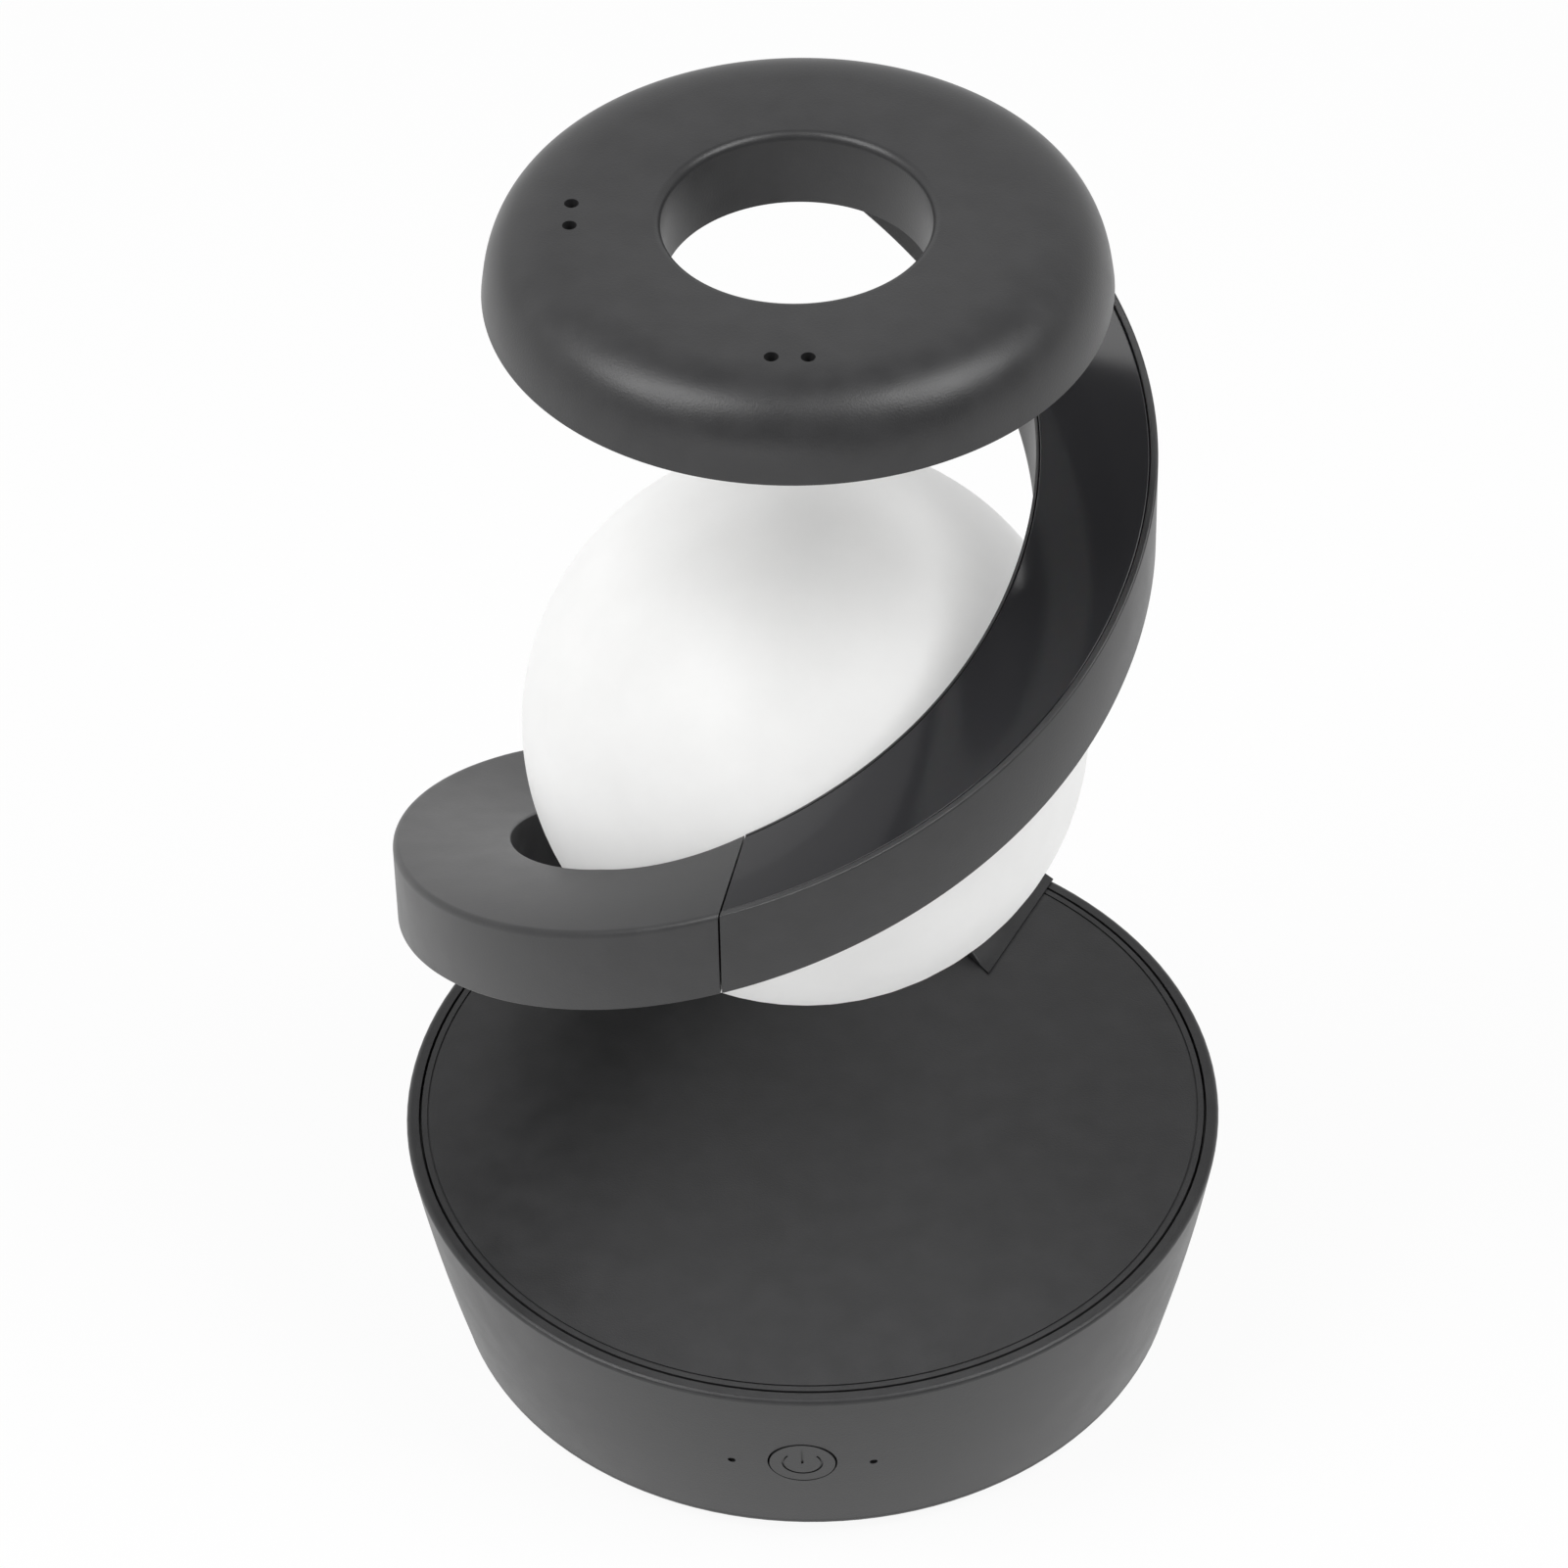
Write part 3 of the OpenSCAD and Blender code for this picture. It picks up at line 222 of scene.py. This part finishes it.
# The circuit boards: glass fibre under solder mask, green on the power and switch boards and white on the light
# boards, where it throws the light back. The copper tracks shimmer through the glossy mask and stand proud.
TRACK_PITCH_MM, BLOCK_MM, TRACK_PROUD = 1.3, 6.4, 0.00003


def board_mask(name, mask, over_copper, roughness):
    """Straight tracks in blocks: a wave along X or Y, chosen by whether a block's random value is over a half,
    and raised where the wave is over about two thirds. Blender's wave turns by 20 radians in each unit."""
    m, tree, shader = finish_of(name, mask, roughness)
    spot = add(tree, "ShaderNodeTexCoord").outputs["Object"]
    cell = add(tree, "ShaderNodeTexVoronoi", {"Vector": spot, "Scale": 1000 / BLOCK_MM, "Randomness": 0.6},
               distance="CHEBYCHEV")
    choice = add(tree, "ShaderNodeMath", {0: cell.outputs["Color"], 1: 0.5}, operation="GREATER_THAN")
    lines = [add(tree, "ShaderNodeTexWave",
                 {"Vector": spot, "Scale": 1000 * math.tau / 20 / TRACK_PITCH_MM, "Distortion": 0.0},
                 wave_type="BANDS", bands_direction=axis).outputs["Fac"] for axis in ("X", "Y")]
    laid = add(tree, "ShaderNodeMix", {"Factor": choice.outputs[0], "A": lines[0], "B": lines[1]})
    track = add(tree, "ShaderNodeMapRange", {"Value": laid.outputs[0], "From Min": 0.6, "From Max": 0.72})
    tint = add(tree, "ShaderNodeMix", {"Factor": track.outputs[0], 6: linear(mask), 7: linear(over_copper)},
               data_type="RGBA")
    tree.links.new(tint.outputs[2], shader.inputs["Base Color"])
    bump = add(tree, "ShaderNodeBump", {"Height": track.outputs[0], "Strength": 1.0, "Distance": TRACK_PROUD})
    tree.links.new(bump.outputs[0], shader.inputs["Normal"])
    return m


dress(board_mask("green_solder_mask", "#1E5B38", "#2C7A4A", 0.3), "main_board", "switch_board")
dress(board_mask("white_solder_mask", "#DEDCD5", "#ECEAE4", 0.3), "ring_light_board", "ball_light_board",
      "arm_light_strip")

# The four feet: moulded rubber discs, stuck on. Dull and nearly black, with a slight bloom that takes the shine
# off in patches.
feet_rubber, tree, shader = finish_of("moulded_rubber", "#1A1A1B", 0.8)
grained(tree, shader, 0.4, 0.02, "#171718", "#202021", 0.74, 0.86, 4.0)
dress(feet_rubber, "rubber_feet")

# The wires up through the arm: copper in red silicone, which is soft, a little uneven and only half glossy.
red_silicone, tree, shader = finish_of("red_silicone_wire", "#A8342C", 0.45)
grained(tree, shader, 0.8, 0.01, "#9E302A", "#B23A31", 0.40, 0.52, 5.0)
dress(red_silicone, "arm_wires")

# The lower arm: an injection moulding in the same satin ABS that winds up round the ball. It starts as a solid
# wedge screwed down on the plate, goes on as a channel open underneath, and ends at the seam in front.
BASE_R, ARM_RISE, ARM_HIGH = 0.075, 0.1905, 0.018
ARM_START, ARM_SWEEP, SEAM = 46.6, 376.0, 259.6     # azimuth of the foot's tip, whole turn, azimuth of the seam
BALL_R, BALL_Z, BALL_GAP, RING_LOW = 0.0496, 0.1373, 0.0004, PLATE + ARM_RISE
OUTER = [1, 1.0096, 1.0096, 0.98, 0.935, 0.88, 0.825, 0.785, 0.715, 0.69]      # shares of BASE_R
INNER = [0.627, 0.72, 0.73, 0.70, 0.66, 0.605, 0.55, 0.517, 0.49, 0.48]        # shares of BASE_R
RISE = [0, 0.083, 0.224, 0.371, 0.507, 0.638, 0.758, 0.873, 1, 1.13]           # shares of ARM_RISE
FOOT_LOW, FOOT_TOP, THINNEST = 0.0001, 0.0004, 0.0003
SKEW, SKEW_SHARE, TIP_SHARE = 7, 0.12, 0.015


def along(shares, t):
    """A smooth curve through the shares, eight steps to the whole turn. Between two shares it is the cubic that
    leaves and reaches them at half the slope between their neighbours; the ends are carried on straight."""
    s, u = np.asarray(shares, float), np.asarray(t, float) * 8
    i = np.clip(np.floor(u), 0, len(s) - 2).astype(int)
    f, b, c = u - i, s[i], s[i + 1]
    a = np.where(i > 0, s[np.maximum(i - 1, 0)], 2 * b - c)
    d = np.where(i < len(s) - 2, s[np.minimum(i + 2, len(s) - 1)], 2 * c - b)
    return b + f * (c - a + f * (2 * a - 5 * b + 4 * c - d + f * (3 * (b - c) + d - a))) / 2


def turn_of(azimuth):
    """The turn t of an azimuth, from 0 at the foot's tip to 1 at the ring."""
    return (np.asarray(azimuth, float) - ARM_START) / ARM_SWEEP


def outer_r(t):
    """Radius of the arm's outer side."""
    return BASE_R * along(OUTER, t)


def inner_r(t):
    """Radius of the arm's inner side, where the ball leaves it room."""
    return BASE_R * along(INNER, t)


def top_z(t):
    """Height of the arm's top: its rise over the plate, held between the foot's thin tip and the ring."""
    return np.minimum(RING_LOW, np.maximum(PLATE + ARM_RISE * along(RISE, t), PLATE + FOOT_TOP))


def low_z(t):
    """Height of the arm's underside: ARM_HIGH below its rise, but never under the plate."""
    return np.maximum(PLATE + ARM_RISE * along(RISE, t) - ARM_HIGH, PLATE + FOOT_LOW)


def face_r(t, z):
    """The inner face: a helix that gives way to a sphere just outside the ball, where that is further out."""
    room = (BALL_R + BALL_GAP) ** 2 - (z - BALL_Z) ** 2
    return np.maximum(inner_r(t), np.sqrt(np.maximum(room, 0)))


def widest_face(t, lo, hi):
    """The furthest out that the inner face comes, so that the hollow's wall stays thick all the way."""
    return np.maximum(face_r(t, lo), np.maximum(face_r(t, hi), face_r(t, np.clip(BALL_Z, lo, hi))))


def arm_places(t, r, z):
    """Places of section points (r, z) at turns t. Near the foot the section leans: its outer end is turned on
    by SKEW degrees, less and less as t grows, and z is taken that much further on as well. The height grows
    from nearly nothing at the tip."""
    skew = SKEW * np.maximum(0, 1 - t / SKEW_SHARE)
    s = (r - inner_r(t)) / (outer_r(t) - inner_r(t))
    a, b = np.radians(ARM_START + ARM_SWEEP * t), np.radians(ARM_START + ARM_SWEEP * t + skew)
    further = t + s * skew / ARM_SWEEP
    h = (z - low_z(t)) / (top_z(t) - low_z(t))
    low = low_z(further)
    z = low + h * np.maximum(THINNEST, (top_z(further) - low) * np.minimum(1, t / TIP_SHARE))
    x = inner_r(t) * np.cos(a) * (1 - s) + outer_r(t) * np.cos(b) * s
    y = inner_r(t) * np.sin(a) * (1 - s) + outer_r(t) * np.sin(b) * s
    return np.stack([x, y, z], -1)


SHARP, WELD = math.radians(28), 1e-6


def skin(name, grid, ends="plain"):
    """A closed surface through a grid of rows of points, each row a closed loop: quads between rows, and at
    both ends a face ("plain"), a strip across the loop's two halves ("strip"), or nothing, where the rows
    themselves close ("round")."""
    m, n = grid.shape[:2]
    i, j = np.meshgrid(np.arange(m if ends == "round" else m - 1), np.arange(n), indexing="ij")
    k, l = (j + 1) % n, (i + 1) % m
    faces = np.stack([i * n + j, i * n + k, l * n + k, l * n + j], -1).reshape(-1, 4).tolist()
    if ends == "plain":
        faces += [list(range(n))[::-1], list(range((m - 1) * n, m * n))]
    if ends == "strip":
        q = np.arange(n // 2 - 1)
        across = np.stack([q, n - 1 - q, n - 2 - q, q + 1], -1)
        faces += across.tolist() + ((m - 1) * n + across[:, ::-1]).tolist()
    mesh = bpy.data.meshes.new(name)
    mesh.from_pydata(grid.reshape(-1, 3).tolist(), [], faces)
    work = bmesh.new()
    work.from_mesh(mesh)
    bmesh.ops.remove_doubles(work, verts=work.verts, dist=WELD)
    bmesh.ops.recalc_face_normals(work, faces=work.faces)
    work.to_mesh(mesh)
    work.free()
    piece = bpy.data.objects.new(name, mesh)
    bpy.context.collection.objects.link(piece)
    mesh.shade_smooth()
    mesh.set_sharp_from_angle(angle=SHARP)
    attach(piece, "lamp")
    return piece


def loop(*runs):
    """Joins runs of (r, z) into one closed loop, each run spread over all the turns."""
    runs = [(np.atleast_2d(r), np.atleast_2d(z)) for r, z in runs]
    rows = max(len(r) for r, _ in runs)
    return (np.concatenate([np.broadcast_to(r, (rows, r.shape[1])) for r, _ in runs], 1),
            np.concatenate([np.broadcast_to(z, (rows, z.shape[1])) for _, z in runs], 1))


QUARTER = np.radians(np.linspace(0, 90, 7))[None]


def quarter(r, z, size, start):
    """A quarter of a circle of that size about (r, z), anticlockwise in the section from the angle start."""
    a = QUARTER + math.radians(start)
    return r + size * np.cos(a), z + size * np.sin(a)


def rounding(size, height, share=0.25):
    """An edge's rounding of that size, or that share of the section's height where the section is low."""
    return np.minimum(size, height * share)


def inner_side(t, lo, hi, high_edge, low_edge):
    """The inner face from top to bottom, rounded at both edges by a quarter circle laid on the face."""
    n = QUARTER.shape[1]
    face = hi - high_edge + (lo + low_edge - hi + high_edge) * np.linspace(0, 1, 13)[None]
    high, low = hi - high_edge + high_edge * np.cos(QUARTER), lo + low_edge - low_edge * np.sin(QUARTER)
    z = np.concatenate([high, face[:, 1:-1], low], 1)
    r = face_r(t, z)
    r[:, :n] += high_edge * (1 - np.sin(QUARTER))
    r[:, -n:] += low_edge * (1 - np.cos(QUARTER))
    return r, z


ARM_WALL, DRAFT, LOW_ROUND = 0.002, 0.0003, 0.0005
CREST_ROUND, CREST_INNER_ROUND = 0.0013, 0.0006
FOOT_END, HOLLOW_STEP = 92, 0.3                     # azimuth where the wedge ends, and its step to the hollow
SEAM_GAP, SEAM_R, STATION = 0.00035, 0.068, 1.5


def lower_loop(t, hollow):
    """The lower arm's section at turns t: solid, or with the hollow from below."""
    R, lo, hi = outer_r(t), low_z(t), top_z(t)
    high_edge, low_edge = rounding(CREST_ROUND, hi - lo, 0.35), rounding(LOW_ROUND, hi - lo)
    v, w = widest_face(t, lo, hi) + ARM_WALL, R - ARM_WALL
    roof = lo + np.where(hollow, hi - lo - ARM_WALL, 0)
    return loop(quarter(R - low_edge, lo + low_edge, low_edge, 270),
                quarter(R - high_edge, hi - high_edge, high_edge, 0),
                inner_side(t, lo, hi, rounding(CREST_INNER_ROUND, hi - lo), low_edge),
                (v, lo), (v + DRAFT, roof), (w - DRAFT, roof), (w, lo))


def stations(start, end):
    """Turns as a column, evenly from one azimuth to another, a station apart or nearly so."""
    return turn_of(np.linspace(start, end, int(round((end - start) / STATION)) + 1))[:, None]


half_seam = math.degrees(SEAM_GAP / 2 / SEAM_R)
t = np.concatenate([stations(ARM_START, FOOT_END), stations(FOOT_END + HOLLOW_STEP, SEAM - half_seam)])
r, z = lower_loop(t, t > turn_of(FOOT_END + HOLLOW_STEP / 2))
lower_arm = skin("arm_lower_shell", arm_places(t, r, z))
lower_arm.data.materials.append(satin_abs)
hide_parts("arm_lower_body")

# The strip that closes the lower channel from below: a plain moulding in black ABS, pressed in between the
# walls with a hair of clearance. A screw of the seam's tongue passes through it, with its head let in.
STRIP_START, STRIP_THICK, STRIP_CLEAR = 104, 0.0018, 0.00015
SPLICE_TURN, HEAD_R, HEAD_H = 7, 0.0020, 0.0013


def bored(piece, radius, depth, *places):
    """Cuts round holes of that radius into a piece, each half its depth both ways along +Z from its place."""
    work = bmesh.new()
    for place in places:
        bmesh.ops.create_cone(work, cap_ends=True, segments=48, radius1=radius, radius2=radius, depth=depth,
                              matrix=place)
    drill = bpy.data.meshes.new("drill")
    work.to_mesh(drill)
    work.free()
    cutter = bpy.data.objects.new("drill", drill)
    bpy.context.collection.objects.link(cutter)
    cut = piece.modifiers.new("holes", "BOOLEAN")
    cut.operation, cut.object, cut.solver = "DIFFERENCE", cutter, "EXACT"
    bpy.context.view_layer.update()
    mesh = bpy.data.meshes.new_from_object(piece.evaluated_get(bpy.context.evaluated_depsgraph_get()))
    piece.modifiers.clear()
    piece.data = mesh
    mesh.set_sharp_from_angle(angle=SHARP)
    bpy.data.objects.remove(cutter)


def under_arm(azimuth):
    """A place on the arm's underside, halfway across, with +Z square to it."""
    t = turn_of(azimuth)
    lo = low_z(t)
    mid = (outer_r(t) + widest_face(t, lo, top_z(t))) / 2
    rise = low_z(turn_of(azimuth + 1)) - low_z(turn_of(azimuth - 1))
    climb = math.atan2(rise, 2 * math.radians(1) * mid)
    return around(azimuth) @ Matrix.Translation((mid, 0, lo)) @ Matrix.Rotation(climb, 4, "X")


t = stations(STRIP_START, SEAM - half_seam)
R, lo, hi = outer_r(t), low_z(t), top_z(t)
inset = ARM_WALL + DRAFT + STRIP_CLEAR
v, w = widest_face(t, lo, hi) + inset, R - inset
r, z = loop((w, lo), (w, lo + STRIP_THICK), (v, lo + STRIP_THICK), (v, lo))
lower_strip = skin("arm_lower_strip", arm_places(t, r, z))
lower_strip.data.materials.append(black_abs)
bored(lower_strip, HEAD_R, 2 * HEAD_H, under_arm(SEAM - SPLICE_TURN))
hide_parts("arm_lower_cover")

# The upper arm: the second satin ABS moulding, joined to the lower one at the seam by the tongue, of which the
# other screw is let into its underside. It is a channel open on top, with a wide lip outside and a fine one
# inside, and its solid end is screwed to the ring from above.
OUTER_LIP, INNER_LIP, INNER_WALL, LIP_BREAK = 0.0013, 0.0005, 0.0013, 0.00012
LIP_ROUND, INNER_LIP_ROUND = 0.0004, 0.0003
UPPER_END, TAIL_END, FILLED_DROP = 426.6, 452, 0.0001


def upper_loop(t, hollow):
    """The upper arm's section at turns t: hollow from above, or filled to just under the lips."""
    R, lo, hi = outer_r(t), low_z(t), top_z(t)
    edge, low_edge = rounding(LIP_ROUND, hi - lo), rounding(LOW_ROUND, hi - lo)
    w, v = R - OUTER_LIP, face_r(t, hi) + INNER_LIP
    floor = np.where(hollow, lo + ARM_WALL, hi - FILLED_DROP)
    deep = np.where(hollow, widest_face(t, lo, hi) + INNER_WALL, v + DRAFT)
    return loop(quarter(R - low_edge, lo + low_edge, low_edge, 270), quarter(R - edge, hi - edge, edge, 0),
                (w + LIP_BREAK, hi), (w, hi - LIP_BREAK), (w - DRAFT, floor), (deep, floor),
                (v, hi - LIP_BREAK), (v - LIP_BREAK, hi),
                inner_side(t, lo, hi, np.minimum(INNER_LIP_ROUND, edge), low_edge))


t = np.concatenate([stations(SEAM + half_seam, UPPER_END), stations(UPPER_END + HOLLOW_STEP, TAIL_END)])
r, z = upper_loop(t, t < turn_of(UPPER_END + HOLLOW_STEP / 2))
upper_arm = skin("arm_upper_shell", arm_places(t, r, z))
upper_arm.data.materials.append(satin_abs)
bored(upper_arm, HEAD_R, 2 * HEAD_H, under_arm(SEAM + SPLICE_TURN))
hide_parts("arm_upper_body")

# The inlay: a strip of polished black acrylic, snapped into the upper channel over its light strip. It lies a
# tenth of a millimetre under the lips with a hair of clearance each side, and its edges are broken.
INLAY_DROP, INLAY_CLEAR, INLAY_THICK, INLAY_ROUND, INLAY_SHORT = 0.00012, 0.00012, 0.0018, 0.0003, 1
WAVE_MM, WAVE_DEPTH = 22, 0.00015
t = stations(SEAM + half_seam, ARM_START + ARM_SWEEP - INLAY_SHORT)
R, hi, e = outer_r(t), top_z(t) - INLAY_DROP, INLAY_ROUND
w, v = R - OUTER_LIP - INLAY_CLEAR, face_r(t, top_z(t)) + INNER_LIP + INLAY_CLEAR
r, z = loop((w - DRAFT, hi - INLAY_THICK), quarter(w - e, hi - e, e, 0), quarter(v + e, hi - e, e, 90),
            (v + DRAFT, hi - INLAY_THICK))
inlay = skin("arm_gloss_inlay", arm_places(t, r, z))

# Acrylic polished to a mirror: dark, with clear reflections that waver a little, because a moulded strip is
# never quite flat.
gloss_black, tree, shader = finish_of("polished_black_acrylic", "#2B2B2D", 0.12, IOR=1.49,
                                      Specular_IOR_Level=0.25)
place = add(tree, "ShaderNodeTexCoord").outputs["Object"]
wave = add(tree, "ShaderNodeTexNoise", {"Vector": place, "Scale": 1000 / WAVE_MM, "Detail": 1.0})
bump = add(tree, "ShaderNodeBump", {"Height": wave.outputs[0], "Strength": 0.6, "Distance": WAVE_DEPTH})
tree.links.new(bump.outputs[0], shader.inputs["Normal"])
inlay.data.materials.append(gloss_black)
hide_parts("arm_inlay")

# The ring's cover: a moulded shell in the same satin ABS, open underneath. Its side leans in a little and runs
# into a broad soft shoulder without an edge, and two pairs of small holes go through its flat top.
RING_R, RING_H, FLAT_R, HOLE_R, HOLE_ROUND, RING_WALL = 0.0522, 0.014, 0.038, 0.0223, 0.0015, 0.002
SIDE_LEAN, SIDE_FOOT, SIDE_REACH, TOP_REACH, INSET_SHARE = 0.138, 0.002, 0.009, 0.008, 0.4
VENT_R, VENT_PITCH, VENT_D = 0.037, 0.0059, 0.0024


def shoulder(inset):
    """A cubic from the foot of the side to the edge of the flat top, drawn in by the inset. It is the sum of
    four points, those two ends and one a reach along the side and along the top from each, with the weights
    (1 - u)^3, 3 u (1 - u)^2, 3 u^2 (1 - u) and u^3 as u goes from 0 to 1."""
    u = np.linspace(0, 1, 33)[None]
    weights = (1 - u) ** 3, 3 * u * (1 - u) ** 2, 3 * u ** 2 * (1 - u), u ** 3
    less = inset * INSET_SHARE
    r_foot, z_top = RING_R - SIDE_LEAN * SIDE_FOOT - inset, RING_H - inset
    r_points = r_foot, r_foot - SIDE_LEAN * SIDE_REACH, FLAT_R + TOP_REACH - less, FLAT_R
    z_points = SIDE_FOOT, SIDE_FOOT + SIDE_REACH - less, z_top, z_top
    return tuple(sum(k * p for k, p in zip(weights, points)) for points in (r_points, z_points))


q = math.radians(90) * np.linspace(0, 1, 9)[None]
hole_edge = HOLE_R + HOLE_ROUND * (1 - np.sin(q)), RING_H - HOLE_ROUND * (1 - np.cos(q))
inner_r_run, inner_z_run = shoulder(RING_WALL)
r, z = loop((RING_R, 0), shoulder(0), hole_edge, (HOLE_R, 0), (HOLE_R + RING_WALL, 0),
            (HOLE_R + RING_WALL, RING_H - RING_WALL), (inner_r_run[:, ::-1], inner_z_run[:, ::-1]),
            (RING_R - RING_WALL, 0))
a = np.radians(np.arange(0, 360, STATION))[:, None]
ring = skin("ring_shell", np.stack(np.broadcast_arrays(r * np.cos(a), r * np.sin(a), RING_LOW + z), -1),
            "round")
bored(ring, VENT_D / 2, 3 * RING_WALL,
      *[around(azimuth) @ Matrix.Translation((VENT_R, side * VENT_PITCH / 2, RING_LOW + RING_H))
        for azimuth in (180, 270) for side in (-1, 1)])
ring.data.materials.append(satin_abs)
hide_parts("ring_cover")

# The ball: two blow moulded half shells of white polyethylene, welded on a meridian through the stem. The weld
# shows as a fine shallow groove.
STEM_AZIMUTH, WELD_LEAN, STEM_HOLE_R, BALL_WALL = 248, 21, 0.00365, 0.002
LINE_WIDE, LINE_DEEP, GATHERED, CAP = 0.0007, 0.00005, 0.93, 0.3


def half_shell(side):
    """Half a hollow sphere as rows of loops: at each angle from the stem the loop runs out along the outer
    sphere and back along the inner one, its points gathered near the weld by a sine, and its rows closer set in
    the cap round the stem. Within LINE_WIDE of the weld's plane the outer sphere drops by LINE_DEEP times one
    less the square of the distance's share of it. The whole is then leant and turned to the stem."""
    hole = math.asin(STEM_HOLE_R / BALL_R)
    polar = np.concatenate([np.linspace(hole, CAP, 9), np.linspace(CAP, math.pi, 90)[1:]])[:, None]
    s = np.linspace(0, 1, 61)
    spread = np.pi * (s - np.sin(2 * np.pi * s) / (2 * np.pi) * GATHERED)
    outer, inner = spread[None], spread[::-1][None]
    from_weld = BALL_R * np.sin(polar) * np.sin(outer)
    R = BALL_R - LINE_DEEP * (1 - np.clip(from_weld / LINE_WIDE, 0, 1) ** 2)
    r = np.concatenate([R, np.full((len(polar), len(s)), BALL_R - BALL_WALL)], 1)
    a = np.concatenate([outer, inner], 1) * side
    x, y, z = r * np.cos(polar), r * np.sin(polar) * np.cos(a), r * np.sin(polar) * np.sin(a)
    lean, turn = math.radians(WELD_LEAN), math.radians(STEM_AZIMUTH)
    y, z = y * math.cos(lean) - z * math.sin(lean), y * math.sin(lean) + z * math.cos(lean)
    x, y = x * math.cos(turn) - y * math.sin(turn), x * math.sin(turn) + y * math.cos(turn)
    return np.stack([x, y, z + BALL_Z], -1)


# Blow moulded polyethylene is milky and waxy: light spreads a centimetre in it, so shadows on it stay soft. The
# faint glow is painted light: an even white emission that stands for the light that bounces about inside the
# hollow shell.
milk_white, tree, shader = finish_of("white_polyethylene", "#D2D2D1", 0.52, Subsurface_Weight=0.4,
                                     Subsurface_Scale=0.01, Subsurface_Radius=(1, 1, 1),
                                     Emission_Color=linear("#FFFFFF"), Emission_Strength=0.24)
grained(tree, shader, 1.2, 0.004, "#CDCDCC", "#D7D7D6", 0.48, 0.56, 26.0)
for name, side in (("ball_shell_left", -1), ("ball_shell_right", 1)):
    half = skin(name + "_moulded", half_shell(side), "strip")
    half.data.materials.append(milk_white)
    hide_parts(name)

bpy.context.scene.view_settings.view_transform = "Standard"
